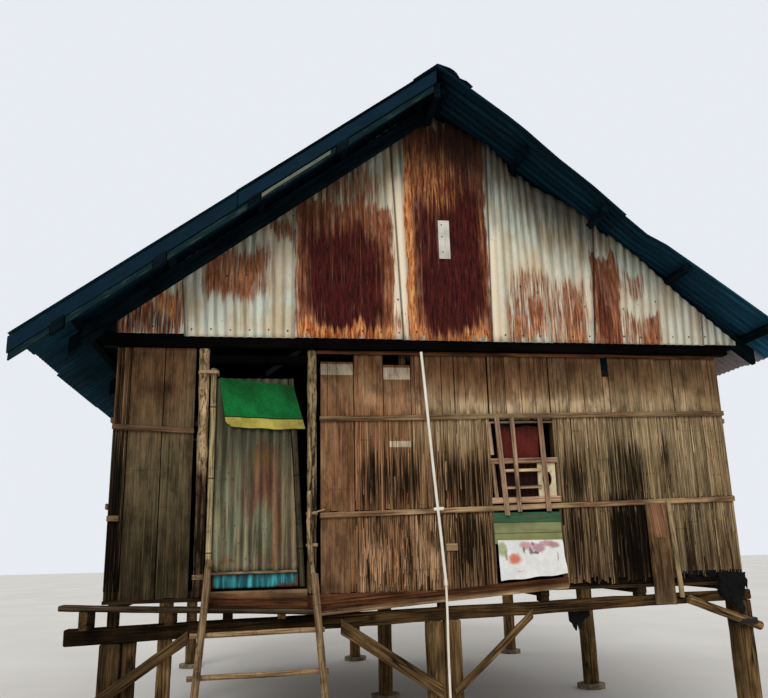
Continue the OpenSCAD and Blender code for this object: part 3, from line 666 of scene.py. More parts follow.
def driven_nails(spots):
    """Drives a domed nail head into every point, facing the way the point carries."""
    head = node("GeometryNodeMeshUVSphere", {"Segments": 8, "Rings": 5, "Radius": 1.0})
    head = node("GeometryNodeTransform", {"Geometry": head, "Scale": (1.0, 1.0, 0.55)})
    facing = node("FunctionNodeAlignRotationToVector", {"Vector": named("nail_out", "FLOAT_VECTOR")}, axis="Z")
    return node("GeometryNodeInstanceOnPoints", {"Points": spots, "Instance": head, "Rotation": facing,
                                                 "Scale": named("nail_size")})


CORRUGATION = shape("corrugated_sheet", {"Pitch": WAVE, "Depth": 0.016, "Dents": 0.006, "Dent Size": 1.4, "Seed": 0.0},
                    corrugated)
SLATS = shape("split_bamboo_slats", {"Columns": 3, "Rows": 17, "Bulge": 0.3, "Wander": 0.004}, standing_slats, False)
POLES = shape("round_poles", {"Sides": 14, "Step": 0.02, "Ring": 0.27, "Knot": 0.08, "Unevenness": 0.002}, swept_poles)
NAILS = shape("nail_heads", {}, driven_nails)


# Meshes

def set_marks(mesh, **marks):
    """Gives each point a named number or vector, or all of them the same number."""
    for label, values in marks.items():
        values = np.asarray(values, np.float32)
        values = values if values.ndim else np.full(len(mesh.vertices), values)
        kind, key = ("FLOAT", "value") if values.ndim == 1 else ("FLOAT_VECTOR", "vector")
        layer = mesh.attributes.get(label) or mesh.attributes.new(label, kind, "POINT")
        layer.data.foreach_set(key, values.ravel())


def mesh_of(name, points, faces=(), edges=(), **marks):
    """A mesh from points and faces, with marks on its points."""
    mesh = bpy.data.meshes.new(name)
    mesh.from_pydata(np.asarray(points, float).tolist(), list(edges), list(faces))
    set_marks(mesh, **marks)
    mesh.update()
    return mesh


def points_of(mesh, key="co"):
    points = np.zeros(len(mesh.vertices) * 3, np.float32)
    mesh.vertices.foreach_get(key, points)
    return points.reshape(-1, 3).astype(float)


def read_mark(mesh, label):
    values = np.zeros(len(mesh.vertices), np.float32)
    mesh.attributes[label].data.foreach_get("value", values)
    return values.astype(float)


def baked(name, mesh, tree=None, settings=None, thickness=0.0):
    """Runs a geometry tree on a mesh, thickens the result where a thickness is given, and keeps it as a plain mesh."""
    rough = shown(name + "_rough", mesh)
    if tree:
        maker = rough.modifiers.new("shape", "NODES")
        maker.node_group = tree
        for item in tree.interface.items_tree:
            if item.in_out == "INPUT" and item.name in settings:
                maker[item.identifier] = settings[item.name]
    if thickness:
        solid = rough.modifiers.new("thickness", "SOLIDIFY")
        solid.thickness, solid.offset = thickness, 0
    graph = bpy.context.evaluated_depsgraph_get()
    result = bpy.data.meshes.new_from_object(rough.evaluated_get(graph), preserve_all_data_layers=True, depsgraph=graph)
    result.name = name
    bpy.data.objects.remove(rough)
    return result


def joined(name, meshes):
    """Several meshes as one, with their marks and materials kept."""
    objects = [shown(name, mesh) for mesh in meshes]
    with bpy.context.temp_override(active_object=objects[0], selected_editable_objects=objects):
        bpy.ops.object.join()
    mesh = objects[0].data
    bpy.data.objects.remove(objects[0])
    return mesh


def settle(name, mesh, slot, nodes=(), material=None, sharp=None, body="house"):
    """Makes a finished mesh a piece: the CAD nodes that it stands for and its body. The slot is not used."""
    piece = shown(name, mesh)
    if material is not None:
        mesh.materials.clear()
        mesh.materials.append(material)
    if sharp is not None:
        mesh.shade_smooth()
        mesh.set_sharp_from_angle(angle=math.radians(sharp))
    if nodes:
        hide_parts(*nodes)
    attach(piece, body)
    return piece


def lattice_faces(columns, rows, first=0):
    """Quads of a lattice whose points run up each column in turn."""
    return [(k, k + rows, k + rows + 1, k + 1)
            for c in range(columns - 1) for k in range(first + c * rows, first + (c + 1) * rows - 1)]


def evenly(low, high, count):
    """Numbers from one end to the other."""
    return [low + (high - low) * k / (count - 1) for k in range(count)]


@lru_cache
def random_knots(seed):
    return np.random.default_rng(seed).uniform(-1, 1, 4096)


def wander(along, step, seed):
    """Numbers from -1 to 1 that change smoothly along a line, about once each step."""
    return np.interp(np.asarray(along, float) / step + 2048, np.arange(4096), random_knots(seed))


def within(value, low, high):
    return np.clip(value, low, high)


def zone_share(x, z, zones):
    """How strongly listed zones cover the points of a wall: left, right, low, high, softness, strength."""
    share = np.zeros(len(x))
    for left, right, low, high, soft, strength in zones:
        inside = [within(reach / soft + 0.5, 0, 1) for reach in (x - left, right - x, z - low, high - z)]
        share = np.maximum(share, strength * np.prod(inside, axis=0))
    return share


# Timbers

# How a timber is worn: length of its steps, easing of its edges, bow, roughness and cuts along it
Wear = namedtuple("Wear", "step bevel bow rough lengthwise", defaults=(0,))


def solids_of(label):
    """The separate solids of a CAD node, each merged and with its flat faces whole."""
    whole = bmesh.new()
    whole.from_mesh(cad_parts[label].data)
    bmesh.ops.remove_doubles(whole, verts=whole.verts, dist=1e-5)
    bmesh.ops.dissolve_limit(whole, angle_limit=math.radians(1), verts=whole.verts[:], edges=whole.edges[:])
    whole.verts.index_update()
    whole.faces.index_update()
    seen, solids = set(), []
    for first in whole.verts:
        if first.index in seen:
            continue
        seen.add(first.index)
        members, waiting = [], [first]
        while waiting:
            point = waiting.pop()
            members.append(point)
            for other in (edge.other_vert(point) for edge in point.link_edges):
                if other.index not in seen:
                    seen.add(other.index)
                    waiting.append(other)
        solid = bmesh.new()
        copies = {point.index: solid.verts.new(point.co) for point in members}
        faces = {face.index: face for point in members for face in point.link_faces}
        for index in sorted(faces):
            solid.faces.new([copies[point.index] for point in faces[index].verts])
        solids.append(solid)
    whole.free()
    return solids


def block(low, high):
    """A plain block, to be worn down."""
    solid = bmesh.new()
    bmesh.ops.create_cube(solid, size=1.0)
    middle, size = (Vector(low) + Vector(high)) / 2, Vector(high) - Vector(low)
    for point in solid.verts:
        point.co = point.co * size + middle
    return solid


def prism(corners, y0, y1):
    """A solid between two depths with an outline of four corners in X and Z."""
    solid = bmesh.new()
    made = [solid.verts.new((x, y, z)) for y in (y0, y1) for x, z in corners]
    for face in ((0, 1, 2, 3), (7, 6, 5, 4), (0, 4, 5, 1), (1, 5, 6, 2), (2, 6, 7, 3), (3, 7, 4, 0)):
        solid.faces.new([made[k] for k in face])
    bmesh.ops.recalc_face_normals(solid, faces=solid.faces[:])
    return solid


def grain_axes(solid):
    """The way that the fibres run, and the two ways across them."""
    longest = max(solid.edges, key=lambda edge: edge.calc_length())
    along = (longest.verts[1].co - longest.verts[0].co).normalized()
    if along.dot(Vector((0.3, 0.5, 1))) < 0:
        along.negate()
    sides = [face for face in solid.faces if abs(face.normal.dot(along)) < 0.3]
    broad = max(sides, key=lambda face: face.calc_area()).normal.copy()
    broad = (broad - along * broad.dot(along)).normalized()
    return along, broad, along.cross(broad)


def sliced(solid, way, step=None, count=None):
    """Cuts a solid across one way, about once each step or into a count of equal parts."""
    reach = [point.co.dot(way) for point in solid.verts]
    low, length = min(reach), max(reach) - min(reach)
    count = count or max(2, round(length / step))
    for k in range(1, count):
        bmesh.ops.bisect_plane(solid, geom=solid.verts[:] + solid.edges[:] + solid.faces[:],
                               plane_co=way * (low + length * k / count), plane_no=way)


def worn(solid, seed, wear):
    """Eases the edges of a timber and makes it uneven. Returns its points, faces and grain coordinates."""
    solid.normal_update()
    along, broad, cross = grain_axes(solid)
    edges = [edge for edge in solid.edges if edge.calc_face_angle(0) > 0.5]
    if wear.bevel:
        bmesh.ops.bevel(solid, geom=edges, offset=wear.bevel, segments=1, affect="EDGES", clamp_overlap=True)
    sliced(solid, along, step=wear.step)
    sliced(solid, cross, count=wear.lengthwise + 1)
    points, grain = [], []
    for point in solid.verts:
        at = point.co.copy()
        run = at.dot(along)
        grain.append((run + 3.7 * seed, at.dot(broad) + 1.3 * seed, at.dot(cross)))
        sway = noise.noise_vector(Vector((run * 1.1, seed * 7.1, 0.4)))
        fine = noise.noise_vector(at * 11 + Vector((seed, 0, 0)))
        rag = noise.noise_vector(at * 34 + Vector((0, seed, 0)))
        points.append(at + (broad * sway.x + cross * sway.y) * wear.bow + (fine + rag * 0.5) * wear.rough)
    solid.verts.index_update()
    faces = [tuple(point.index for point in face.verts) for face in solid.faces]
    solid.free()
    return points, faces, grain


def timber_mesh(name, solids, seed, wear):
    """Worn timbers in one mesh, with grain coordinates and a tone for each timber."""
    tones = random.Random(seed)
    points, faces, grain, tone = [], [], [], []
    for number, solid in enumerate(solids):
        more, rings, fibres = worn(solid, seed + number * 1.37, wear)
        faces += [tuple(index + len(points) for index in face) for face in rings]
        points += more
        grain += fibres
        tone += [tones.uniform(-1, 1)] * len(more)
    return mesh_of(name, points, faces, grain=grain, tone=tone)


def timbers(name, solids, seed, wear, slot, material, nodes=(), body="house", marks_at=None, **marks):
    """A piece of worn timbers. marks_at gives its marks from the mesh."""
    mesh = timber_mesh(name, solids, seed, wear)
    set_marks(mesh, **marks, **(marks_at(mesh) if marks_at else {}))
    return settle(name, mesh, slot, nodes, material, 32, body)


# Walls of split bamboo

def slat(rows, x, low, high, width, y, thick, tone, board, lean=0.0, twist=0.0):
    rows.append((x, y, low, width, thick, high - low, lean, twist, tone, board))


def slat_mesh(name, rows, material, columns=3, cuts=17, bulge=0.3, drift=0.004):
    data = np.array(rows)
    turn = np.zeros((len(data), 3))
    turn[:, 1:] = data[:, 6:8]
    mesh = mesh_of(name, data[:, :3], slat_size=data[:, 3:6], slat_turn=turn, slat_tone=data[:, 8],
                   board_tone=data[:, 9])
    return baked(name, mesh, SLATS, {"Columns": columns, "Rows": cuts, "Bulge": bulge, "Wander": drift,
                                     "Finish": material})


def fill_board(rows, rng, left, right, low, high, face, narrow, wide, gaps, contrast, ragged, board):
    """Fills one flattened bamboo board with slats, split along its cracks."""
    push, lean = rng.uniform(-0.002, 0.003), rng.uniform(-0.002, 0.002)
    x = left
    while x < right - 0.004:
        width = min(rng.uniform(narrow, wide), right - x)
        if right - x - width < narrow * 0.5:
            width = right - x
        gap, thick = rng.choice(gaps), rng.uniform(0.007, 0.010)
        slat(rows, x + width / 2, low + rng.uniform(-ragged, ragged), high, max(0.004, width - gap),
             face + 0.006 + push + rng.uniform(-0.0008, 0.0012), thick, rng.uniform(-1, 1) * contrast, board,
             lean + rng.uniform(-0.0012, 0.0012), rng.uniform(-0.05, 0.05))
        x += width


def fill_backing(rows, rng, left, right, low, high, face):
    """A second, inner layer of broad dark slats, so that a crack shows no daylight; it is painted nearly black as the
    shade behind the cracks.
    """
    x = left
    while x < right - 0.01:
        width = min(rng.uniform(0.09, 0.16), right - x)
        slat(rows, x + width / 2, low + 0.01, high - 0.01, width + 0.004, face + 0.0185, 0.008, -1.0,
             rng.uniform(-1, 0))
        x += width


# Seams between the boards of the front wall
LEFT_BOARDS = [-2.55, -2.515, -2.435, -2.178, -1.937]
RIGHT_BOARDS = [-0.957, -0.681, -0.438, -0.209, 0.051, 0.161, 0.444]
FAR_BOARDS = [0.988, 1.026, 1.152, 1.293, 1.47, 1.525, 1.69, 1.93, 2.11, 2.22, 2.35, 2.462, 2.55]
OVER_WINDOW = [0.451, 0.477, 0.6, 0.737, 0.86, 0.979]
# How a board is split: narrowest and widest slat, gaps, how far the tones differ and how even the grain is
SPLITS = {"top": (0.026, 0.066, (0.0006, 0.001, 0.0016, 0.0045), 0.4, 0.85),
          "middle": (0.009, 0.024, (0.001, 0.0016, 0.0026, 0.0042), 0.9, 0.15),
          "foot": (0.008, 0.025, (0.001, 0.002, 0.0035, 0.007), 1.3, 0.0),
          "board": (0.034, 0.085, (0.0004, 0.0007, 0.0012), 0.32, 0.9),
          "bundle": (0.008, 0.018, (0.003, 0.006, 0.01), 1.1, 0.2)}
# Where the front wall is marked: left, right, low, high, softness and strength of each zone
# The darkening zones, the brown band along the top and the black zones are mostly painted shade
WALL_ZONES = {
    "stain": [(-0.67, -0.38, 1.98, 2.44, 0.26, 0.74), (-0.42, -0.14, 2.0, 2.36, 0.24, 0.72),
        (-0.02, 0.44, 1.98, 2.42, 0.28, 0.8), (0.06, 0.45, 1.4, 1.97, 0.24, 0.74),
        (-0.16, 0.12, 1.72, 1.95, 0.14, 0.6), (1.0, 1.27, 2.0, 2.4, 0.26, 0.84), (1.5, 1.76, 2.0, 2.46, 0.22, 0.95),
        (0.97, 1.22, 1.44, 1.99, 0.24, 0.85), (1.43, 1.8, 1.3, 2.0, 0.16, 1.3), (1.97, 2.21, 1.43, 1.85, 0.25, 0.5),
        (-0.61, -0.4, 1.72, 1.95, 0.14, 0.6), (1.9, 2.02, 2.05, 2.5, 0.14, 0.66),
        (-0.99, 0.45, 1.33, 1.42, 0.1, 0.5), (0.98, 2.3, 1.33, 1.55, 0.24, 0.68),
        (-2.2, -1.94, 1.36, 1.5, 0.15, 0.4), (2.3, 2.55, 1.4, 1.75, 0.2, 0.5), (-0.31, -0.22, 1.45, 1.85, 0.06, 0.7),
        (-0.68, -0.63, 1.4, 1.9, 0.06, 0.7)],
    "pale": [(1.9, 2.6, 2.1, 2.9, 0.4, 0.42), (-0.45, 2.45, 2.75, 2.92, 0.26, 0.66),
        (0.1, 1.6, 2.75, 2.88, 0.12, 0.92), (1.47, 1.53, 2.8, 3.08, 0.05, 1.0), (1.9, 2.55, 1.5, 2.4, 0.5, 0.36),
        (1.97, 2.02, 2.75, 2.99, 0.08, 0.8), (2.1, 2.3, 2.75, 3.0, 0.1, 0.6), (-0.3, 0.4, 2.42, 2.72, 0.2, 0.5),
        (1.0, 2.5, 2.42, 2.72, 0.3, 0.5), (-0.67, -0.42, 1.3, 1.86, 0.12, 0.74), (-0.34, -0.27, 1.4, 1.8, 0.05, 0.6),
        (-0.22, -0.12, 1.4, 1.92, 0.06, 0.66), (-0.14, 0.02, 1.45, 1.75, 0.1, 0.62),
        (-0.65, -0.45, 2.76, 2.96, 0.12, 0.6)],
    "brown": [(-1.0, 2.0, 2.98, 3.3, 0.18, 1.0), (2.0, 2.55, 3.0, 3.3, 0.18, 0.6),
        (-1.0, -0.16, 1.3, 2.98, 0.24, 0.85), (-2.6, -1.9, 2.65, 3.3, 0.3, 0.6), (-0.3, 0.45, 1.3, 1.95, 0.25, 0.6),
        (-0.2, 0.45, 1.95, 2.5, 0.25, 0.45), (1.0, 1.9, 1.3, 1.95, 0.3, 0.5), (-0.2, 2.5, 2.9, 3.0, 0.15, 0.5),
        (-0.42, -0.24, 2.86, 2.96, 0.06, 0.9)],
    "damp": [(-1.0, 2.55, 3.02, 3.34, 0.3, 0.7), (-2.6, -1.9, 1.2, 3.4, 0.1, 0.45),
        (-3.2, -1.4, 0.6, 2.05, 0.7, 0.9), (-2.45, -2.0, 2.8, 3.04, 0.24, 0.8), (-2.0, -1.9, 1.3, 3.3, 0.1, 0.82),
        (-2.6, -1.9, 3.1, 3.3, 0.2, 0.78), (0.02, 0.47, 1.3, 1.97, 0.2, 0.45), (0.0, 0.45, 2.0, 2.42, 0.25, 0.3),
        (0.96, 1.45, 1.3, 1.97, 0.2, 0.5), (1.4, 1.85, 1.3, 1.99, 0.1, 0.6), (1.8, 2.55, 1.3, 1.85, 0.35, 0.32),
        (-0.7, -0.15, 1.97, 2.4, 0.2, 0.25), (-1.0, 0.45, 1.3, 1.42, 0.1, 0.3), (0.98, 2.55, 1.97, 2.03, 0.06, 0.5),
        (0.98, 2.7, 1.1, 1.5, 0.25, 0.4)],
    "fray": [(-0.7, 0.46, 1.3, 2.46, 0.24, 1.0), (-0.96, -0.68, 1.3, 1.96, 0.1, 0.2),
        (0.98, 2.05, 1.3, 2.4, 0.3, 0.9), (2.0, 2.55, 1.3, 2.3, 0.3, 0.6), (-2.55, -1.94, 1.3, 2.6, 0.3, 0.2),
        (-0.96, 2.55, 2.4, 2.72, 0.2, 0.5), (-0.9, 2.55, 2.72, 3.25, 0.1, 0.14),
        (-2.55, -2.43, 1.3, 3.2, 0.02, 0.8)],
    "olive": [(1.0, 2.6, 1.3, 3.05, 0.8, 0.72), (-3.2, -1.4, 0.4, 2.7, 0.6, 0.9), (-0.1, 0.5, 2.4, 2.9, 0.3, 0.45)],
    "black": [(-2.54, -2.44, 1.99, 2.4, 0.06, 0.85), (-2.56, -2.43, 1.355, 1.9, 0.05, 0.7),
        (-2.5, -2.43, 1.355, 1.47, 0.02, 1.0), (-2.56, -2.44, 1.9, 1.938, 0.02, 0.9),
        (-0.6, -0.573, 1.37, 1.68, 0.012, 1.0), (0.435, 0.46, 1.78, 1.94, 0.02, 0.9),
        (1.5, 1.76, 1.35, 1.96, 0.14, 0.66), (-0.46, -0.44, 1.4, 1.6, 0.012, 0.9),
        (-0.34, -0.325, 1.38, 1.7, 0.012, 0.9), (-0.12, -0.1, 1.42, 1.66, 0.012, 0.9)]}
# Smooth pale lengths where the skin of the bamboo is left, and the marks of joints: left, right and height
CHALK = [(-0.955, -0.688, 3.062, 3.152), (-0.434, -0.212, 3.028, 3.128), (-0.4, -0.222, 2.47, 2.518)]
LINES = [(-0.883, -0.69, 2.14), (-0.767, -0.673, 1.537), (-0.431, 0.122, 1.512), (1.535, 1.685, 2.555),
         (1.469, 1.539, 2.282), (-2.42, -2.19, 2.3), (-2.17, -1.95, 2.02), (2.12, 2.44, 2.6)]
WINDOW_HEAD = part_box("window_cloth")[1].z - 0.062


def slat_low(x):
    """The lower end of the front wall's slats, worn shorter towards the right."""
    return float(np.interp(x, [-2.6, 0.98, 1.18, 1.75, 2.02, 2.39, 2.46, 2.55],
                           [FLOOR + 0.003, 1.353, 1.39, 1.37, 1.412, 1.43, 1.40, 1.36]))


def board_lengths(seams, left, right):
    """The lengths of one board that its strips divide: lower end, upper end and how it is split."""
    x = (left + right) / 2
    top = {RIGHT_BOARDS[0]: 3.17, RIGHT_BOARDS[2]: 3.15, FAR_BOARDS[4]: 3.07}.get(left, WALL_TOP - 0.004)
    if seams is OVER_WINDOW:
        return [(WINDOW_HEAD, top, "top")]
    if seams is LEFT_BOARDS:
        kind = "bundle" if right < -2.4 else "board"
        return [(slat_low(x), 2.612, kind), (2.620, top, kind)]
    middle, upper = 1.958 + 0.0239 * (x + 0.957), 2.699 + 0.0154 * (x + 0.957)
    smooth = "board" if right < -0.6 else None
    return [(slat_low(x), middle - 0.002, smooth or "foot"), (middle + 0.004, upper - 0.002, smooth or "middle"),
            (upper + 0.004, top, "top")]


def front_wall():
    rng = random.Random(11)
    rows, inner, fringe = {kind: [] for kind in SPLITS}, [], []
    for seams in (LEFT_BOARDS, RIGHT_BOARDS, FAR_BOARDS, OVER_WINDOW):
        for left, right in zip(seams, seams[1:]):
            board = rng.uniform(-1, 1)
            for low, high, kind in board_lengths(seams, left, right):
                seam = rng.uniform(0.0012, 0.0034) if seams is not LEFT_BOARDS else 0.0036
                ragged = 0.032 if left > 1.1 and kind == "foot" else 0.006
                fill_board(rows[kind], rng, left + seam, right - seam, low, high, FRONT, *SPLITS[kind][:4], ragged,
                           board)
        fill_backing(inner, rng, seams[0] + 0.004, seams[-1] - 0.004,
                     WINDOW_HEAD if seams is OVER_WINDOW else FLOOR + 0.055, WALL_TOP - 0.13, FRONT)
    # Frayed splints stand off the boards, most of them below the upper strip and in the mouldy patches
    for number in range(840):
        x = rng.uniform(-0.68, 2.53) if number % 3 else rng.uniform(-0.68, 0.1)
        if 0.42 < x < 1.0:
            continue
        low = max(slat_low(x) - 0.01, rng.uniform(1.33, 2.45 if number % 3 else 1.7))
        high = min(low + rng.uniform(0.12, 0.5), 1.93 if low < 1.9 else 2.68)
        slat(fringe, x, low, high, rng.uniform(0.003, 0.009), FRONT - 0.0015 + rng.uniform(-0.003, 0.003),
             rng.uniform(0.002, 0.004), rng.uniform(-1, 1) if number % 3 else rng.uniform(0.2, 1.4), rng.uniform(-1, 1),
             rng.uniform(-0.03, 0.03), rng.uniform(-0.4, 0.4))
    coat = bamboo_wall_finish("bamboo_wall_front", chalk=CHALK, lines=LINES)
    meshes = [slat_mesh("front_inner", inner, coat, 2, 3, 0, 0.001),
              slat_mesh("front_splints", fringe, coat, 2, 7, 0, 0.012)]
    for kind, split in SPLITS.items():
        form = (13, 0.16, 0.0015) if kind in ("top", "board") else (9, 0.3, 0.004)
        meshes.append(slat_mesh(f"front_{kind}_slats", rows[kind], coat, 3, *form))
        set_marks(meshes[-1], calm=split[4])
    mesh = joined("front_wall", meshes)
    tone = read_mark(mesh, "slat_tone")
    x, y, z = points_of(mesh).T
    marks = {label: zone_share(x, z + tone * 0.09, zones) for label, zones in WALL_ZONES.items()}
    marks["stain"] = marks["stain"] * (1.02 + 0.34 * np.sin(tone * 57.0))
    # The inner layer is painted nearly black, as the shade seen through the cracks
    marks["black"] = np.maximum(marks["black"], within((y - FRONT - 0.0135) / 0.001, 0, 1) * 0.9)
    set_marks(mesh, **marks)
    settle("front_wall", mesh, "bamboo_panel", ["front_panels"])


def cloud_marks(mesh, seed, mould=0.35):
    """Stain, bleach and brown marks that wander over a wall that the photograph doesn't show; towards the top the
    darkening and the brown paint shade under the eave.
    """
    x, _, z = points_of(mesh).T
    drift = (wander(x, 0.5, seed) + wander(z, 0.45, seed + 1) + wander(x + z * 0.8, 0.7, seed + 2)) / 1.7
    top = within((z - 2.9) / 0.5, 0, 1)
    return {"stain": within(drift - 0.55 + mould * within((1.9 - z) / 0.6, 0, 1), 0, 0.8),
            "pale": within(-drift - 0.3, 0, 0.6) * (1 - top), "fray": within(drift * 0.5 + 0.4, 0.1, 0.8),
            "damp": within(0.18 + 0.3 * wander(x, 0.8, seed + 5) + 0.35 * top, 0, 0.6),
            "olive": within(0.35 + 0.4 * wander(x, 1.3, seed + 6), 0, 0.7),
            "brown": within(0.35 + wander(x, 0.9, seed + 3) * 0.3 + top * 0.5, 0, 0.9)}


def plain_wall(name, width, face, turn, seed, material, height_at):
    """A wall of split bamboo on one of the hidden sides, built along X and turned into place."""
    rng = random.Random(seed)
    rows, inner = [], []
    x = -width / 2
    while x < width / 2 - 0.01:
        right = min(x + rng.uniform(0.11, 0.27), width / 2)
        if width / 2 - right < 0.06:
            right = width / 2
        fill_board(rows, rng, x + 0.002, right - 0.002, FLOOR - 0.010, height_at((x + right) / 2), -face, 0.014, 0.046,
                   (0.0008, 0.0012, 0.002, 0.004), 1.0, 0.012, rng.uniform(-1, 1))
        x = right
    fill_backing(inner, rng, -width / 2 + 0.005, width / 2 - 0.005, FLOOR + 0.038, WALL_TOP + 0.006, -face)
    mesh = joined(name, [slat_mesh(name + "_slats", rows, material, cuts=11),
                         slat_mesh(name + "_inner", inner, material, 2, 3, 0, 0.001)])
    set_marks(mesh, **cloud_marks(mesh, seed))
    mesh.transform(Matrix.Rotation(turn, 4, "Z"))
    return mesh


def hidden_walls():
    plain = bamboo_wall_finish("bamboo_wall_plain", (166, 136, 100), (88, 64, 42), (128, 116, 90))
    under_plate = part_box("wall_plates")[1].z - 0.03
    depth = BACK - FRONT - 0.05
    sides = [plain_wall("side_wall", depth, SIDE, turn, seed, plain,
                        lambda s: WALL_TOP - 0.004 if abs(s) > depth / 2 - 0.2 else under_plate)
             for turn, seed in ((math.pi / 2, 21), (-math.pi / 2, 22))]
    settle("side_walls", joined("side_walls", sides), "bamboo_panel", ["side_panels"])
    back = plain_wall("back_wall", 2 * SIDE, BACK, math.pi, 23, plain, lambda s: WALL_TOP - 0.004)
    settle("back_wall", back, "bamboo_panel", ["back_panels"])


front_wall()
hidden_walls()


# Timbers of the frame, the floor and the roof

grey_wood = timber_finish("grey_stilt_timber", (156, 124, 82), (62, 45, 27), 0.55, 0.5)
inner_wood = timber_finish("inner_frame_timber", (104, 78, 50), (44, 31, 20), 0.35)
beam_wood = timber_finish("dark_beam_timber", (106, 80, 48), (36, 25, 15), 0.5)
plank_wood = timber_finish("weathered_plank", (108, 90, 68), (44, 35, 25), 0.5)
sawn_wood = timber_finish("sawn_board", (132, 102, 70), (66, 48, 31))
red_wood = timber_finish("reddish_board", (124, 78, 50), (50, 30, 19))
ruddy_wood = timber_finish("ruddy_board", (156, 112, 84), (84, 56, 41), 0.45, 0.5)
strip_wood = timber_finish("bamboo_strip", (168, 134, 100), (88, 63, 44), 0.4, 0.4)
spalted_wood = timber_finish("spalted_post", (176, 142, 106), (54, 39, 27), 0.6, 0.5, fineness=0.75, mottle=0.85)
bar_wood = timber_finish("window_bar_wood", (196, 160, 130), (98, 72, 55), 0.45, 0.36)
# Painted shade: the roof timbers are dark with soot and shade, the tie beams and lintel near black with shade
roof_wood = timber_finish("sooty_roof_timber", (13, 32, 40), (6, 14, 20), 0.4, shine=0.03)
tie_wood = timber_finish("shaded_tie_timber", (10, 8, 7), (4, 3, 3), 0.4, shine=0.02)
sill_wood = timber_finish("sooty_sill", (52, 40, 30), (20, 15, 11), 0.4)

HEAVY = Wear(0.13, 0.009, 0.007, 0.0045, 1)
LIGHT = Wear(0.2, 0.003, 0.003, 0.0014)
# The pieces that have the shapes of one CAD node: piece, node, wood, slot and wear
FRAME_TIMBERS = [
    ("front_stilts", "front_posts", grey_wood, "grey_timber", HEAVY),
    ("rear_stilts", "rear_posts", grey_wood, "grey_timber", HEAVY),
    ("front_beam_piece", "front_beam", beam_wood, "grey_timber", HEAVY),
    ("cross_beam_pieces", "cross_beams", beam_wood, "grey_timber", HEAVY),
    ("packers", "joist_packers", beam_wood, "frame_timber", LIGHT),
    ("joists", "floor_joists", inner_wood, "frame_timber", LIGHT._replace(step=0.4)),
    ("braces", "front_braces", grey_wood, "grey_timber", Wear(0.1, 0.005, 0.006, 0.003, 1)),
    ("bearers", "plank_bearers", beam_wood, "grey_timber", LIGHT),
    ("step_plank", "front_plank", plank_wood, "sawn_board", Wear(0.1, 0.004, 0.004, 0.003, 3)),
    ("kick_board_piece", "kick_board", red_wood, "red_board", Wear(0.08, 0.003, 0.003, 0.0022, 3)),
    ("threshold_piece", "threshold", red_wood, "red_board", Wear(0.08, 0.004, 0.002, 0.002, 1)),
    ("sills", "sill_plates", sill_wood, "frame_timber", LIGHT),
    ("corner_timbers", "corner_posts", inner_wood, "frame_timber", LIGHT),
    ("studs", "wall_studs", inner_wood, "frame_timber", LIGHT),
    ("door_frame_posts", "door_posts", spalted_wood, "grey_timber", Wear(0.06, 0.012, 0.005, 0.006, 1)),
    ("lintel_timber", "lintel", tie_wood, "frame_timber", LIGHT),
    ("tie_timbers", "tie_beams", tie_wood, "frame_timber", LIGHT._replace(bevel=0.006)),
    ("plate_timbers", "wall_plates", inner_wood, "frame_timber", LIGHT),
    ("front_strips", "front_battens", strip_wood, "bamboo_pole", Wear(0.07, 0.004, 0.004, 0.0022)),
    ("outer_strips", "outer_battens", strip_wood, "bamboo_pole", Wear(0.16, 0.004, 0.003, 0.002)),
    ("window_bars", "window_grille", bar_wood, "sawn_board", Wear(0.05, 0.003, 0.002, 0.0014)),
    ("hanging_pieces", "hanging_boards", sawn_wood, "sawn_board", Wear(0.04, 0.003, 0.004, 0.0028, 3)),
    ("king_timbers", "king_posts", inner_wood, "frame_timber", LIGHT),
    ("ridge_timber", "ridge_beam", roof_wood, "frame_timber", LIGHT),
    ("rafter_timbers", "rafters", roof_wood, "frame_timber", LIGHT._replace(bevel=0.005)),
    ("purlin_timbers", "purlins", roof_wood, "frame_timber", LIGHT._replace(bevel=0.005, bow=0.002))]


def fitted(name, solids):
    """Small changes that the photograph asks for. The thin rails of the window run only between its leaning bars, its
    lowest rail is a taller board, only the left bar reaches below the batten, and the threshold reaches lower."""
    for points in ([point.co for point in solid.verts] for solid in solids):
        wide, high = (max(p[k] for p in points) - min(p[k] for p in points) for k in (0, 2))
        left, foot, head = min(p.x for p in points), min(p.z for p in points), max(p.z for p in points)
        for co in points if name == "window_bars" else ():
            if wide > 0.4 and high < 0.034 and foot > 2.08:
                co.x = 0.533 if co.x < 0.7 else 0.853
            elif wide > 0.4 and head < 2.07:
                co.z += 0.010 if co.z > 2.032 else -0.012
            elif high > 0.4 and left > 0.55:
                co.z += 0.030 if co.z < 2.0 else 0.0
        for co in points if name == "threshold_piece" else ():
            co.z -= 0.005 if co.z < FLOOR - 0.005 else 0.0
    return solids


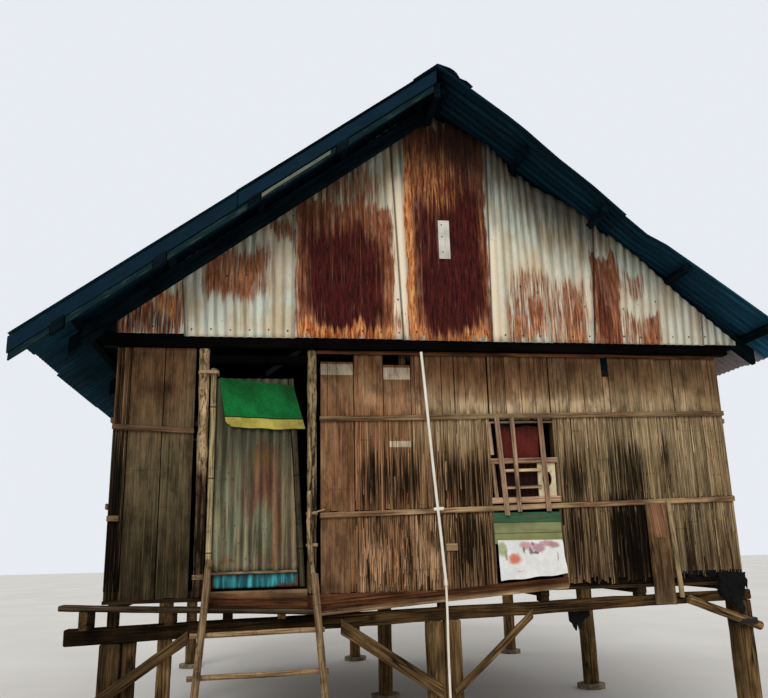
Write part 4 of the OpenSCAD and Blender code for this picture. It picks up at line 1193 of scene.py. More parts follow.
def weather(name, mesh):
    """How bleached and how dark a timber of the front is at each of its points. The darkness is mostly painted shade,
    and the threshold's top a painted highlight.
    """
    x, y, level = points_of(mesh).T
    z = level + wander(x, 0.03, 3) * 0.08
    bleach = 0.0
    damp = {"studs": 0.3, "joists": 0.45, "cross_beam_pieces": 0.45, "packers": 0.45, "sills": 0.45}.get(name, 0.0)
    if name == "door_frame_posts":
        left, patchy = x < -1.5, wander(level * 3 + x * 17, 0.12, 14)
        bleach = np.where(left, within((z - 2.25) / 0.25, 0, 0.5), within((z - 1.9) / 0.3, 0, 0.9)) * (1 + 0.3 * patchy)
        damp = np.where(left, within((2.45 - z) / 0.3, 0, 0.86) - 0.3 * within(patchy, 0, 1), 0.1 - 0.1 * patchy)
    elif name == "front_stilts":
        damp = np.where(x < -2.0, 0.74, np.where(x < 1.0, 0.08, within((z - 0.7) / 0.4, 0, 0.3)))
    elif name == "braces":
        damp = np.interp(x, [-1.9, -0.9, -0.1, 0.3], [0.76, 0.4, 0.1, 0.05])
    elif name == "front_beam_piece":
        damp = np.interp(x, [-2.8, -2.2, -2.0, -1.2, -0.4, 2.6], [0.94, 0.92, 0.7, 0.7, 0.4, 0.15])
    elif name == "step_plank":
        top = np.interp(x, [-2.81, -0.98], [1.335, 1.252])
        damp = np.where(y < -3.33, within((top - 0.010 - level) / 0.008, 0, 0.86), 0.7)
    elif name == "front_strips":
        damp = np.where(x < -1.9, 0.42, 0.06 + 0.1 * within(wander(x, 0.16, 33), 0, 1))
        bleach = within(wander(x, 0.22, 34), 0, 0.4) * (x > -0.5)
    elif name == "kick_board_piece":
        bleach = within((np.interp(x, [-0.97, 1.02], [1.196, 1.338]) + 0.026 - level) / 0.010, 0, 0.42)
        damp = np.where(bleach > 0.05, 0.0, 0.12)
    elif name == "threshold_piece":
        # A painted highlight along the top edge, painted shade below it
        bleach = within((level - 1.380) / 0.008, 0, 0.35)
        damp = np.where(bleach > 0.05, 0.0, 0.2)
    elif name == "window_bars":
        rail = (np.abs(level - 2.125) < 0.014) | (np.abs(level - 2.278) < 0.014)
        bleach = np.where(rail & (y > FRONT - 0.02), 1.0, 0.0)
        damp = np.where(y < FRONT - 0.02, 0.12, 0.0)
        set_marks(mesh, tone=read_mark(mesh, "tone") + 1.2 * bleach)
    elif name == "hanging_pieces":
        tones = read_mark(mesh, "tone")
        thin = min(set(tones), key=lambda value: np.ptp(x[tones == value]))
        bleach = np.where(tones == thin, 0.7, within(wander(z, 0.2, 12) * 0.2 + 0.1, 0, 0.3))
        damp = within((1.45 - z) / 0.4, 0, 0.3)
    return {"bleach": bleach, "damp": damp}


for row, (piece_name, node_name, wood, slot_name, row_wear) in enumerate(FRAME_TIMBERS):
    timbers(piece_name, fitted(piece_name, solids_of(node_name)), 40 + row, row_wear, slot_name, wood, [node_name],
            marks_at=lambda mesh: weather(piece_name, mesh))

# Thin boards that only the photograph's front shows: piece, corners, two depths, wood, slot and darkness, which is
# painted shade
ADDED_BOARDS = [
    ("wall_head_lath", [(-0.982, 3.232), (2.53, 3.236), (2.53, 3.266), (-0.982, 3.264)], -0.014, -0.001, red_wood,
     "frame_timber", 0.5),
    ("kick_board_wedge", [(-0.965, 1.2865), (-0.06, 1.3495), (-0.06, 1.3515), (-0.965, 1.3515)], -0.019, -0.002,
     red_wood, "red_board", 0.3),
    ("kick_board_cover", [(-0.968, 1.2770), (-0.050, 1.3430), (-0.050, 1.3530), (-0.968, 1.3530)], -0.0272, -0.0228,
     red_wood, "red_board", 0.0),
    ("kick_board_lip", [(-0.968, 1.1968), (1.018, 1.3385), (1.018, 1.3545), (-0.968, 1.2128)], -0.0245, -0.0222,
     strip_wood, "red_board", 0.0),
    ("threshold_end", [(-1.0620, 1.2520), (-0.9680, 1.2480), (-0.9680, 1.3492), (-1.0620, 1.3492)], -0.021, -0.001,
     red_wood, "red_board", 0.5),
    ("window_head_rail", [(0.450, 2.662), (0.984, 2.668), (0.984, 2.684), (0.450, 2.680)], -0.013, -0.001, bar_wood,
     "sawn_board", 0.4),
    ("upper_hanging_board", [(1.778, 1.712), (1.878, 1.708), (1.890, 1.986), (1.749, 1.990)], -0.0515, -0.0445,
     ruddy_wood, "sawn_board", 0.0)]


def bleached_along(low, step, seed, most):
    """Marks that bleach a board in patches along it."""
    return lambda mesh: {"bleach": within(low + 0.6 * wander(points_of(mesh)[:, 0], step, seed), 0, most)}


for piece_name, corners, near, far, wood, slot_name, darkness in ADDED_BOARDS:
    patches = bleached_along(0.35, 0.09, 52, 0.9) if piece_name == "kick_board_lip" else None
    timbers(piece_name, [prism(corners, FRONT + near, FRONT + far)], 130, Wear(0.08, 0.002, 0.001, 0.0012, 2),
            slot_name, wood, damp=darkness, marks_at=patches)


def floor_planks():
    """Boards across the joists, with open joints."""
    low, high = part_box("floor_boards")
    rng = random.Random(5)
    solids, y = [], low.y
    while y < high.y - 0.02:
        wide = min(rng.uniform(0.13, 0.19), high.y - y)
        if high.y - y - wide < 0.06:
            wide = high.y - y
        middle = rng.choice((-0.82, 0.0, 0.82, 1.64, -1.64))
        for left, right in ((low.x, middle - 0.002), (middle + 0.002, high.x)):
            solids.append(block((left, y + 0.0015, low.z), (right, y + wide - 0.0015, high.z)))
        y += wide
    # The planks' front edges are darkened as painted shade
    timbers("floor_planks", solids, 90, Wear(0.5, 0.002, 0.0, 0.001), "sawn_board", sawn_wood, ["floor_boards"],
            marks_at=lambda mesh: {"damp": np.where(points_of(mesh)[:, 1] < FRONT + 0.01, 0.85, 0.1)})


def foot_stones():
    """Rough flat stones under the stilts."""
    points, faces = [], []
    for number, solid in enumerate(solids_of("foot_stones")):
        bmesh.ops.bevel(solid, geom=[e for e in solid.edges if e.calc_face_angle(0) > 1.2], offset=0.014, segments=2,
                        affect="EDGES")
        bmesh.ops.triangulate(solid, faces=solid.faces[:])
        bmesh.ops.subdivide_edges(solid, edges=solid.edges[:], cuts=2, use_grid_fill=True)
        solid.verts.index_update()
        faces += [tuple(len(points) + p.index for p in face.verts) for face in solid.faces]
        for point in solid.verts:
            push = noise.noise_vector(point.co * 9 + Vector((number, 0, 0))) * 0.014
            sink = min(1.0, point.co.z / 0.03)
            points.append(point.co + Vector((push.x, push.y, min(push.z, 0.0) * sink * 0.5)))
        solid.free()
    settle("rough_foot_stones", mesh_of("rough_foot_stones", points, faces), "foot_stone", ["foot_stones"],
           stone_finish("foot_stone"), 40)


floor_planks()
foot_stones()


# Corrugated iron

class Sheets:
    """Flat sheets in X and Y, which are pressed into waves together."""

    def __init__(self):
        self.points, self.faces, self.marks = [], [], []

    def add_point(self, place, x, up, lift, shift, seam):
        self.points.append((x, up, 0.0))
        self.marks.append((place, lift, x, up, shift, seam))

    def add_sheet(self, across, low_at, high_at, rows, lift, number, leans=(0.0, 0.0), base=0.0):
        """One sheet: its columns stand at the places given by across and run between two edges, leaning as told."""
        self.faces += lattice_faces(len(across), rows, len(self.points))
        for place in across:
            lean = leans[0] + (leans[1] - leans[0]) * (place - across[0]) / (across[-1] - across[0])
            for up in evenly(low_at(place), high_at(place), rows):
                # The first two columns of each sheet carry the seam mark, a painted shadow at the lap
                self.add_point(place, place + lean * (up - base), up, lift, number * 7.0, float(place in across[:2]))

    def pressed(self, name, material, pitch, depth, dents, seed, dent_size=1.4, clean=False):
        data = np.array(self.marks)
        mesh = mesh_of(name, self.points, self.faces, wave_across=data[:, 0], sheet_lift=data[:, 1], flat=data[:, 2:5],
                       seam=data[:, 5])
        if clean:
            whole = bmesh.new()
            whole.from_mesh(mesh)
            bmesh.ops.dissolve_degenerate(whole, dist=1e-5, edges=whole.edges[:])
            whole.to_mesh(mesh)
            whole.free()
        return baked(name, mesh, CORRUGATION, {"Pitch": pitch, "Depth": depth, "Dents": dents, "Dent Size": dent_size,
                                               "Seed": seed, "Finish": material}, 0.001)


def columns_between(left, right, pitch=WAVE):
    return evenly(left, right, max(2, round((right - left) / (pitch / 8)) + 1))


def stand(mesh, y):
    """Stands a pressed sheet upright, at one depth."""
    mesh.transform(Matrix(((1, 0, 0, 0), (0, 0, -1, y), (0, 1, 0, 0), (0, 0, 0, 1))))


# Sheets of the front gable: seams at the foot, how far each edge leans, height of the foot and how far it lies out
GABLE_SHEETS = [(-2.56, -2.01, 0.0, -0.08, 3.372, 0.0), (-2.036, -1.165, -0.08, 0.0, 3.352, 0.0028),
                (-1.192, -0.24, 0.0, -0.04, 3.358, 0.0), (-0.27, 0.52, -0.04, 0.023, 3.352, 0.0028),
                (0.49, 1.035, 0.023, -0.06, 3.35, 0.0048), (0.999, 1.43, -0.06, 0.074, 3.354, 0.0),
                (1.404, 2.43, 0.074, 0.06, 3.352, 0.003), (2.41, 2.724, 0.06, 0.0, 3.356, 0.0052)]
# How deep below the roof's face the sheets right of the ridge end
RIGHT_TOP = ([0, 0.53, 0.82, 1.24, 1.44, 1.85, 2.26, 2.67, 2.8],
             [0.092, 0.03, 0.039, 0.032, 0.062, 0.071, 0.118, 0.146, 0.15])
PURLINS = (0.120, 0.8075, 1.495, 2.1825, 2.870)
# Where the front gable is rusted, deeply rusted, orange and chalky, in the same terms
GABLE_ZONES = {
    "rust": [(-2.7, -2.03, 3.3, 3.78, 0.12, 0.68), (-1.93, -1.36, 3.68, 4.14, 0.16, 0.76),
        (-1.4, -1.16, 4.22, 4.42, 0.1, 0.75), (-1.16, -0.33, 3.3, 4.56, 0.1, 1.0),
        (-1.02, -0.42, 4.45, 4.95, 0.22, 0.6), (-0.225, 0.5, 3.3, 5.4, 0.03, 1.0), (-0.4, -0.2, 3.3, 3.6, 0.1, 0.5),
        (0.62, 1.4, 3.3, 3.98, 0.16, 0.52), (0.64, 0.98, 3.3, 3.72, 0.1, 0.72), (1.12, 1.36, 3.3, 3.92, 0.1, 0.72),
        (1.42, 1.68, 3.3, 4.2, 0.06, 0.95), (1.66, 2.0, 3.3, 3.66, 0.12, 0.62), (1.84, 2.04, 3.3, 3.62, 0.07, 0.8),
        (1.66, 1.95, 3.78, 4.05, 0.12, 0.55), (2.4, 2.75, 3.3, 3.42, 0.1, 0.4)],
    "deep": [(-1.07, -0.43, 3.44, 4.32, 0.3, 1.15), (-1.1, -0.36, 3.44, 4.5, 0.3, 0.5),
        (-0.12, 0.46, 3.44, 4.72, 0.24, 1.1), (-0.1, 0.5, 4.4, 5.4, 0.3, 0.7), (-2.7, -2.1, 3.35, 3.6, 0.2, 0.6),
        (1.42, 1.62, 3.4, 4.1, 0.1, 0.5)],
    "glow": [(-1.16, -0.25, 3.2, 3.46, 0.1, 0.92), (-0.25, 0.5, 3.2, 3.42, 0.08, 0.85),
        (-0.26, -0.15, 3.4, 5.0, 0.07, 0.92), (-0.25, 0.3, 4.5, 5.15, 0.3, 0.4), (0.6, 1.4, 3.3, 3.5, 0.15, 0.45),
        (1.66, 2.0, 3.3, 3.5, 0.15, 0.4), (-1.8, -1.4, 3.8, 4.0, 0.2, 0.45), (-2.5, -2.1, 3.55, 3.8, 0.1, 0.5)],
    "cream": [(-0.37, -0.235, 3.36, 4.8, 0.04, 1.1), (0.5, 0.6, 3.38, 4.35, 0.05, 0.95),
        (0.6, 1.4, 3.36, 4.2, 0.3, 0.35), (-2.0, -1.2, 3.36, 3.45, 0.1, 0.3), (-1.42, -1.2, 3.9, 4.4, 0.15, 0.45),
        (1.3, 1.41, 3.6, 4.1, 0.06, 0.7), (1.6, 2.6, 3.4, 3.9, 0.3, 0.4)]}


def gable_top(x, front_side):
    """How high the sheets of a gable reach, cut out round the purlins and the ridge beam."""
    if abs(x) < 0.037:
        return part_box("king_posts")[1].z - 0.003
    depth = 0.092
    if front_side and x > 0:
        depth = float(np.interp(x, *RIGHT_TOP))
        if any(abs(x - spot) < 0.055 for spot in PURLINS):
            depth = max(depth, 0.094)
    return under_roof(x, depth)


def gable_mesh(name, rows, front_side, seed):
    sheets = Sheets()
    for number, (left, right, lean_left, lean_right, foot, lift) in enumerate(rows):
        sheets.add_sheet(columns_between(left, right), lambda x: foot,
                         lambda x: max(foot + 0.02, gable_top(x, front_side)),
                         26, lift, number, (lean_left, lean_right), foot)
    mesh = sheets.pressed(name, gable_iron, WAVE, 0.0125, 0.009, seed, 1.5)
    stand(mesh, FRONT - 0.049)
    return mesh


def front_gable():
    mesh = gable_mesh("front_gable", GABLE_SHEETS, True, 3.0)
    at, _, up = points_of(mesh).T
    x = at + wander(up, 0.07, 4) * 0.012
    z = up + wander(at, 0.019, 5) * 0.06 + wander(at, 0.09, 6) * 0.09
    # Soot and painted shade under the roof, darkest at the top
    soot = within(1.08 - (under_roof(at, 0.05) - up) / 0.80, 0, 1) ** 0.9
    soot *= np.interp(x, [-1.9, -1.5, -1.2, -0.9, -0.4, -0.2], [0.5, 0.6, 0.8, 0.75, 0.75, 1.0])
    soot *= 1 - 0.6 * within((-x - 1.6) / 0.6, 0, 1) - 0.5 * within((x - 1.2) / 0.6, 0, 1)
    set_marks(mesh, soot=soot, **{label: zone_share(at if label == "cream" else x, z, zones)
                                  for label, zones in GABLE_ZONES.items()})
    settle("front_gable", mesh, "rusted_sheet", ["front_gable_sheets"])


def back_gable():
    lefts = [-2.72 + COVER * k for k in range(8) if -2.72 + COVER * k < 2.6]
    rows = [(left, min(2.72, left + 0.80), 0.0, 0.0, 3.352 + 0.004 * (k % 3), 0.0028 * (k % 2))
            for k, left in enumerate(lefts)]
    mesh = gable_mesh("back_gable", rows, False, 9.0)
    mesh.transform(Matrix.Rotation(math.pi, 4, "Z"))
    x, _, z = points_of(mesh).T
    cover = 0.5 + 0.5 * wander(x, 0.45, 31) + 0.35 * wander(z + 0.3 * wander(x, 0.05, 32), 0.5, 33)
    # Soot and painted shade darken the sheets just below the roof
    below = under_roof(x, 0.05) - z
    set_marks(mesh, rust=within(cover, 0, 1), deep=within(cover - 0.3, 0, 0.8),
              cream=within(-wander(x, 0.6, 34), 0, 0.6), glow=within((3.5 - z) / 0.15, 0, 1) * 0.6,
              soot=within(1 - below / 0.5, 0, 1) * 0.6)
    settle("back_gable", mesh, "rusted_sheet", ["back_gable_sheets"])


gable_iron = rusted_sheet_finish("rusted_gable_sheet")
front_gable()
back_gable()

# How far the front edge of the right slope's sheets reaches, from the ridge down to the eave
RIGHT_VERGE = ([0.0, 0.62, 0.96, 1.26, 1.6, 1.9, 1.95, 2.34, 2.8, 3.2],
               [-3.765, -3.765, -3.7, -3.677, -3.614, -3.572, -3.612, -3.629, -3.637, -3.64])


def roof_slope(name, label, mirrored, seed):
    """One slope: two rows of overlapping sheets, laid from the ridge down."""
    low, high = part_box(label)
    reach = (high.x - low.x) / math.cos(PITCH)
    side = -1 if mirrored else 1
    first, end = sorted((low.y * side, high.y * side))
    rng = random.Random(seed)
    sheets = Sheets()
    for row, (top, foot, lift) in enumerate(((-0.01, -2.06, 0.0042), (-1.93, -reach + 0.006, 0.0))):
        y, number = first, 0
        while y < end - 0.05:
            right = min(y + 0.836, end)
            slip, lie = rng.uniform(0, 0.022), rng.uniform(-0.004, 0.004)
            begin = len(sheets.points)
            sheets.add_sheet(columns_between(y, right), lambda at: foot + slip + lie * (at - y), lambda at: top, 12,
                             lift + 0.0016 * (number % 2), number + row * 40)
            if not mirrored and number == 0:
                for k in range(begin, len(sheets.points)):
                    across, down, _ = sheets.points[k]
                    verge = np.interp(-down * math.cos(PITCH) + (0.06 if row else -0.06), *RIGHT_VERGE)
                    share = 1 - min(1.0, (across - y) / (right - y))
                    sheets.points[k] = (across + (float(verge) - low.y) * share, down, 0.0)
            y, number = y + COVER, number + 1
    mesh = sheets.pressed(name, roof_iron, WAVE, 0.015, 0.007, float(seed), 0.9)
    outwards = Vector((side * math.sin(PITCH), 0, math.cos(PITCH)))
    upwards = Vector((-side * math.cos(PITCH), 0, math.sin(PITCH)))
    place = Matrix((Vector((0, side, 0)), upwards, outwards)).transposed().to_4x4()
    place.translation = Vector((0, 0, RIDGE)) - outwards * 0.010
    mesh.transform(place)
    x, y, _ = points_of(mesh).T
    eave = within((x - 2.9) / 0.06, 0, 1) * within((y + 3.15) / 0.1, 0, 1) * within((-2.2 - y) / 0.2, 0, 1)
    # Undersides: painted shade near the ridge and painted light towards the eaves, strongest on the right
    light = np.interp(np.abs(x), [0, 1.5, 2.4, 3.2], [0.0, 0.1, *((0.5, 0.6) if mirrored else (0.9, 2.8))])
    under = points_of(mesh, "normal")[:, 2] < 0
    set_marks(mesh, tone=np.where(under, light - 0.5, -0.12 if mirrored else 0.12), chalk=eave * 0.76)
    settle(name, mesh, "roof_sheet", [label])


def ridge_cap():
    """A bent sheet over the ridge, pressed down between the waves and buckled at its front right."""
    low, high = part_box("ridge_cap")
    shares, lengths = np.linspace(-1, 1, 23), np.linspace(low.y, high.y, 158)
    points, flat = [], []
    bumps = ([0, 0.049, 0.109, 0.158, 0.192, 0.246, 0.295, 0.345],
             [0.004, 0.024, 0.052, 0.060, 0.024, 0.046, 0.040, 0.0])
    for y in lengths:
        fade = max(0.0, 1 - (y - low.y) / 0.42)
        for share in shares:
            x = share * high.x * (1 + 0.5 * fade * 0.9 if share > 0 else 1.0)
            rest = 0.0085 + 0.004 * (1 - abs(share)) + 0.0035 * abs(share) * math.cos(2 * math.pi * y / WAVE)
            lump = float(np.interp(x, *bumps)) * fade ** 0.7 if x > 0 else 0.0
            soft = 0.004 * noise.noise(Vector((x * 6, y * 1.5, 3)))
            z = under_roof(x, 0) + (rest + lump + soft) / math.cos(PITCH) * 0.8
            points.append((x, y, min(z, high.z - 0.001)))
            flat.append((y, share * 0.26, 300.0))
    faces = [face[::-1] for face in lattice_faces(len(lengths), len(shares))]
    mesh = baked("ridge_capping", mesh_of("ridge_capping", points, faces, flat=flat, crest=0.6), thickness=0.0012)
    settle("ridge_capping", mesh, "roof_sheet", ["ridge_cap"], roof_iron, 50)


roof_iron = dark_roof_finish("dark_roof_sheet")
roof_slope("roof_left", "roof_sheets_left", True, 61)
roof_slope("roof_right", "roof_sheets_right", False, 62)
ridge_cap()


def slope_block(side, from_x, to_x, near, far, y0, y1):
    """A board along the slope between two depths below the roof's face."""
    places = (from_x, near), (to_x, near), (to_x, far), (from_x, far)
    return prism([(x * side, under_roof(x, depth)) for x, depth in places], y0, y1)


def several(name, parts, slot, nodes):
    """A piece of timbers with several finishes: the label, solids, seed, wear and finish of each part."""
    meshes = []
    for label, solids, seed, wear, material in parts:
        meshes.append(timber_mesh(label, solids, seed, wear))
        meshes[-1].materials.append(material)
    settle(name, joined(name, meshes), slot, nodes, None, 32)


def barge_boards():
    """Barge boards with a strip along their lower edge, which the ends of the purlins interrupt, and a short pale strip
    at the front left that is a painted highlight.
    """
    low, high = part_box("barge_boards")
    joint = 1.62
    upper, lower, blocks = [], [], []
    for side, y0, y1, reach in ((-1, low.y, low.y + 0.028, -low.x), (-1, high.y, high.y - 0.028, -low.x),
                                (1, high.y, high.y - 0.028, high.x)):
        out = 1 if y1 > y0 else -1
        upper += [slope_block(side, 0.004, joint, 0.020, 0.112, y0, y1),
                  slope_block(side, joint + 0.004, reach, 0.021, 0.118, y0 + out * 0.002, y1)]
        stops = [0.03, *PURLINS[1:], reach - 0.01]
        for a, b in zip(stops, stops[1:]):
            from_x, to_x = a + (0.05 if a > 0.1 else 0), b - (0.05 if b < reach - 0.05 else 0)
            if to_x - from_x > 0.08:
                lower.append(slope_block(side, from_x, to_x, 0.121, 0.166, y0 + out * 0.009, y1 + out * 0.004))
        blocks += [slope_block(side, e - 0.045, e + 0.045, 0.105, 0.178, y0 - out * 0.004, y1 + out * 0.02)
                   for e in PURLINS[1:]]
    # A painted highlight: a short pale strip where light falls on the lower edge
    bright = slope_block(-1, 0.90, 1.44, 0.124, 0.150, low.y + 0.001, low.y + 0.011)
    wear = Wear(0.12, 0.003, 0.003, 0.0022)
    several("barge_pieces", [
        ("barge_upper", upper, 120, wear._replace(lengthwise=1),
         painted_board_finish("navy_barge_paint", (7, 34, 50), (26, 52, 60))),
        ("barge_lower", lower, 120, wear, painted_board_finish("greenish_trim", (10, 34, 40), (50, 66, 60), 0.5)),
        ("barge_block", blocks, 120, wear, roof_wood),
        ("barge_painted_highlight", [bright], 120, wear,
         painted_board_finish("pale_batten_painted_highlight", (104, 112, 100), (138, 134, 112), 0.5)),
    ], "dark_board", ["barge_boards"])


barge_boards()


# Round poles, ropes and the conduit

def pole_mesh(name, path, radius, material, sides=14, step=0.02, ring=0.27, knot=0.08, unevenness=0.002):
    """A round pole, pipe or rope along a run of points."""
    mesh = mesh_of(name, [tuple(p) for p in path], edges=[(k, k + 1) for k in range(len(path) - 1)], girth=radius)
    return baked(name, mesh, POLES, {"Sides": sides, "Step": step, "Ring": ring, "Knot": knot, "Unevenness": unevenness,
                                     "Finish": material})


def poles(name, runs, material, slot, nodes=(), body="house", tones=(0.6, -0.4, 0.1, -0.7, 0.4), **form):
    """A piece of round poles: each run is its points and its radius."""
    meshes = []
    for number, (path, radius) in enumerate(runs):
        meshes.append(pole_mesh(f"{name}_{number}", path, radius, material, **form))
        set_marks(meshes[-1], tone=tones[number])
    settle(name, joined(name, meshes) if len(meshes) > 1 else meshes[0], slot, nodes, None, 45, body)


def swayed(low, high, sway, seed, count=24):
    """A nearly straight path between two points that bends a little on its way."""
    low, high = Vector(low), Vector(high)
    side = (high - low).orthogonal().normalized()
    other = (high - low).normalized().cross(side)
    path = []
    for share in evenly(0.0, 1.0, count):
        push = noise.noise_vector(Vector((share * 2.2, seed * 5.3, 1.7)))
        path.append(low.lerp(high, share) + (side * push.x + other * push.y) * sway * math.sin(math.pi * share))
    return path


def swayed_axes(label, sway, seed, thinner, order=lambda axis: 0):
    """A swayed path along every round solid of a CAD node, and its radius."""
    found = []
    for solid in solids_of(label):
        caps = sorted(solid.faces, key=lambda face: -len(face.verts))[:2]
        ends = sorted((face.calc_center_median() for face in caps), key=lambda p: (p.z, p.x))
        radius = max((point.co - caps[0].calc_center_median()).length for point in caps[0].verts)
        found.append((*ends, radius))
        solid.free()
    return [(swayed(low, high, sway, seed + k), radius - thinner)
            for k, (low, high, radius) in enumerate(sorted(found, key=order))]


def winding(low, high, turns, seed, radius):
    """A path of rope turns round a squared post, and its radius."""
    rng, steps = random.Random(seed), 28
    middle = [(low[k] + high[k]) / 2 for k in (0, 1)]
    half = [(high[k] - low[k]) / 2 + radius for k in (0, 1)]
    path = []
    for k in range(int(turns * steps) + 1):
        c, s = math.cos(2 * math.pi * k / steps), math.sin(2 * math.pi * k / steps)
        # A rounded square: the circle is pushed out towards its corners
        push = 0.995 / max(abs(c), abs(s)) ** 0.82
        height = low[2] + radius + (high[2] - low[2] - 2 * radius) * (k / (turns * steps)) + rng.uniform(-0.001, 0.001)
        path.append((middle[0] + half[0] * c * push, middle[1] + half[1] * s * push, height))
    return path, radius


def bamboo_poles():
    rail = bamboo_pole_finish("ladder_bamboo", (172, 142, 104), (92, 72, 48), 0.31, 0.3)
    stile = bamboo_pole_finish("door_stile_bamboo", (186, 170, 128), (100, 84, 56), 0.56)
    poles("ladder_side_rails", swayed_axes("ladder_rails", 0.012, 3, 0.003), rail, "bamboo_pole", ["ladder_rails"],
          tones=(-0.9, -0.7), ring=0.31, knot=0.04)
    poles("ladder_rung_poles", swayed_axes("ladder_rungs", 0.010, 9, 0.003), rail, "bamboo_pole", ["ladder_rungs"],
          tones=(0.3, 0.1, 0.5, 0.2, 0.4), ring=0.42, knot=0.03)
    poles("door_side_stiles", swayed_axes("door_stiles", 0.004, 15, 0.002, lambda axis: axis[0].x), stile,
          "bamboo_pole", ["door_stiles"], "door", (0.6, -2.8), ring=0.56, knot=0.06)


def conduit():
    """The white pipe, its sleeve over the floor and its tie."""
    low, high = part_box("white_conduit")
    y = (low.y + high.y) / 2
    knee, head = Vector((high.x - 0.019, y, FLOOR + 0.06)), Vector((low.x + 0.014, y, high.z))
    tie = Vector((-0.022, FRONT - 0.037, 1.972))
    runs = [(swayed((knee.x, y, low.z), knee, 0.012, 20), 0.0095), (swayed(knee, head, 0.004, 21), 0.0118),
            ([knee - Vector((0, 0, 0.022)), knee, knee + Vector((-0.002, 0, 0.022))], 0.0138),
            ([tie + Vector(by) for by in ((-0.035, 0.010, -0.002), (0, -0.002, 0), (0.04, 0.012, 0.003))], 0.0142)]
    poles("white_conduit_pipe", runs, pipe_finish("white_pipe"), "white_pipe", ["white_conduit"], sides=16, step=0.03,
          ring=9.0, knot=0.0, unevenness=0.0006)


def ropes():
    runs = []
    for number, solid in enumerate(solids_of("post_ropes")):
        low, high = ([side(point.co[k] for point in solid.verts) for k in range(3)] for side in (min, max))
        wall = 0.008 if high[0] - low[0] > 0.12 else 0.007
        runs.append(winding((low[0] + wall, low[1] + wall, low[2]), (high[0] - wall, high[1] - wall, high[2]), 3.0,
                            number, 0.0056))
        solid.free()
    z = FLOOR + 0.605
    runs.append(([(-1.06, FRONT - 0.032, z - 0.012), (-1.0, FRONT - 0.034, z + 0.004),
                  (-0.955, FRONT - 0.028, z + 0.02), (-0.925, FRONT - 0.02, z + 0.028)], 0.006))
    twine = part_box("door_posts")[0]
    runs.append(winding((twine.x - 0.001, twine.y - 0.001, 1.478), (twine.x + 0.076, twine.y + 0.091, 1.520), 4.0, 9,
                        0.0022))
    cord = dict(sides=8, step=0.008, ring=9.0, knot=0.0, unevenness=0.0012)
    light = rope_finish("post_rope", (200, 172, 132), (122, 96, 66))
    dark = rope_finish("dark_rope", (38, 30, 22), (12, 10, 8))
    poles("post_rope_turns", runs, light, "rope", ["post_ropes"], **cord)
    binding = winding((SIDE - 0.108, FRONT - 0.073, 1.008), (SIDE + 0.037, FRONT + 0.146, 1.066), 4.0, 21, 0.0055)
    poles("pole_binding", [binding], dark, "rope", **cord)


def post_stick():
    path = swayed((-1.010, FRONT - 0.042, 1.42), (-1.043, FRONT - 0.040, 2.125), 0.016, 31)
    mesh = pole_mesh("post_stick", path, 0.0195, spalted_wood, sides=10, step=0.018, ring=0.19, knot=0.22,
                     unevenness=0.008)
    set_marks(mesh, tone=0.5, bleach=0.45, grain=points_of(mesh)[:, [2, 0, 1]])
    settle("post_stick", mesh, "bamboo_pole", sharp=50)


bamboo_poles()
conduit()
ropes()
post_stick()


# The door

DOOR_WAVE = 0.0725


def door_iron():
    low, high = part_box("door_sheet")
    top_right = high.x - 0.0904
    sheets, columns, rows = Sheets(), columns_between(low.x + 0.001, high.x - 0.001, DOOR_WAVE), 40
    for place in columns:
        for up in evenly(low.z + 0.004 * math.sin(place * 60), high.z, rows):
            rise = (up - low.z) / (high.z - low.z)
            cut = min(place, high.x + (top_right - high.x) * rise - 0.001)
            sheets.add_point(cut, cut, up, 0.0, 50.0, 0.0)
    sheets.faces = lattice_faces(len(columns), rows)
    mesh = sheets.pressed("door_iron", door_zinc_finish("door_zinc"), DOOR_WAVE, 0.0155, 0.006, 5.0, 2.0, clean=True)
    stand(mesh, FRONT + 0.017)
    x, _, z = points_of(mesh).T
    z = z + wander(x, 0.03, 8) * 0.08
    rust = zone_share(x, z, [(-1.54, -1.24, 1.95, 2.50, 0.16, 0.72), (-1.34, -1.24, 1.55, 2.3, 0.08, 0.72),
                             (-1.66, -1.60, 2.0, 2.4, 0.06, 0.42), (-1.22, -1.14, 1.7, 2.2, 0.06, 0.45),
                             (-1.80, -1.1, 1.53, 1.60, 0.05, 0.55), (-1.30, -1.0, 1.4, 2.3, 0.2, 0.40)])
    # Soot and painted shade darken the top of the door, and a little its foot
    set_marks(mesh, rust=rust, soot=within((z - 1.95) / 0.75, 0, 1) * 0.95 + within((1.9 - z) / 0.4, 0, 1) * 0.12)
    settle("door_iron", mesh, "door_zinc", ["door_sheet"], body="door")


def door_foot():
    low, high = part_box("door_lower_sheet")
    sheets = Sheets()
    sheets.add_sheet(columns_between(low.x, high.x, 0.062), lambda x: low.z, lambda x: high.z, 12, 0.0, 60)
    mesh = sheets.pressed("door_foot_iron", turquoise_finish("turquoise_iron"), 0.062, 0.012, 0.003, 2.0)
    stand(mesh, (low.y + high.y) / 2)
    x, _, z = points_of(mesh).T
    rust = zone_share(x, z, [(low.x - 0.1, low.x + 0.02, 1.3, 1.52, 0.04, 0.9),
                             (high.x - 0.16, high.x + 0.1, 1.3, 1.45, 0.1, 0.8),
                             (high.x - 0.03, high.x + 0.1, 1.3, 1.6, 0.04, 0.7)])
    # The top is darkened as the painted shadow of the door sheet above
    set_marks(mesh, rust=rust + within((low.z + 0.02 - z) / 0.03, 0, 0.5), damp=within((z - 1.475) / 0.06, 0, 0.8))
    settle("door_foot_iron", mesh, "turquoise_sheet", ["door_lower_sheet"], body="door")


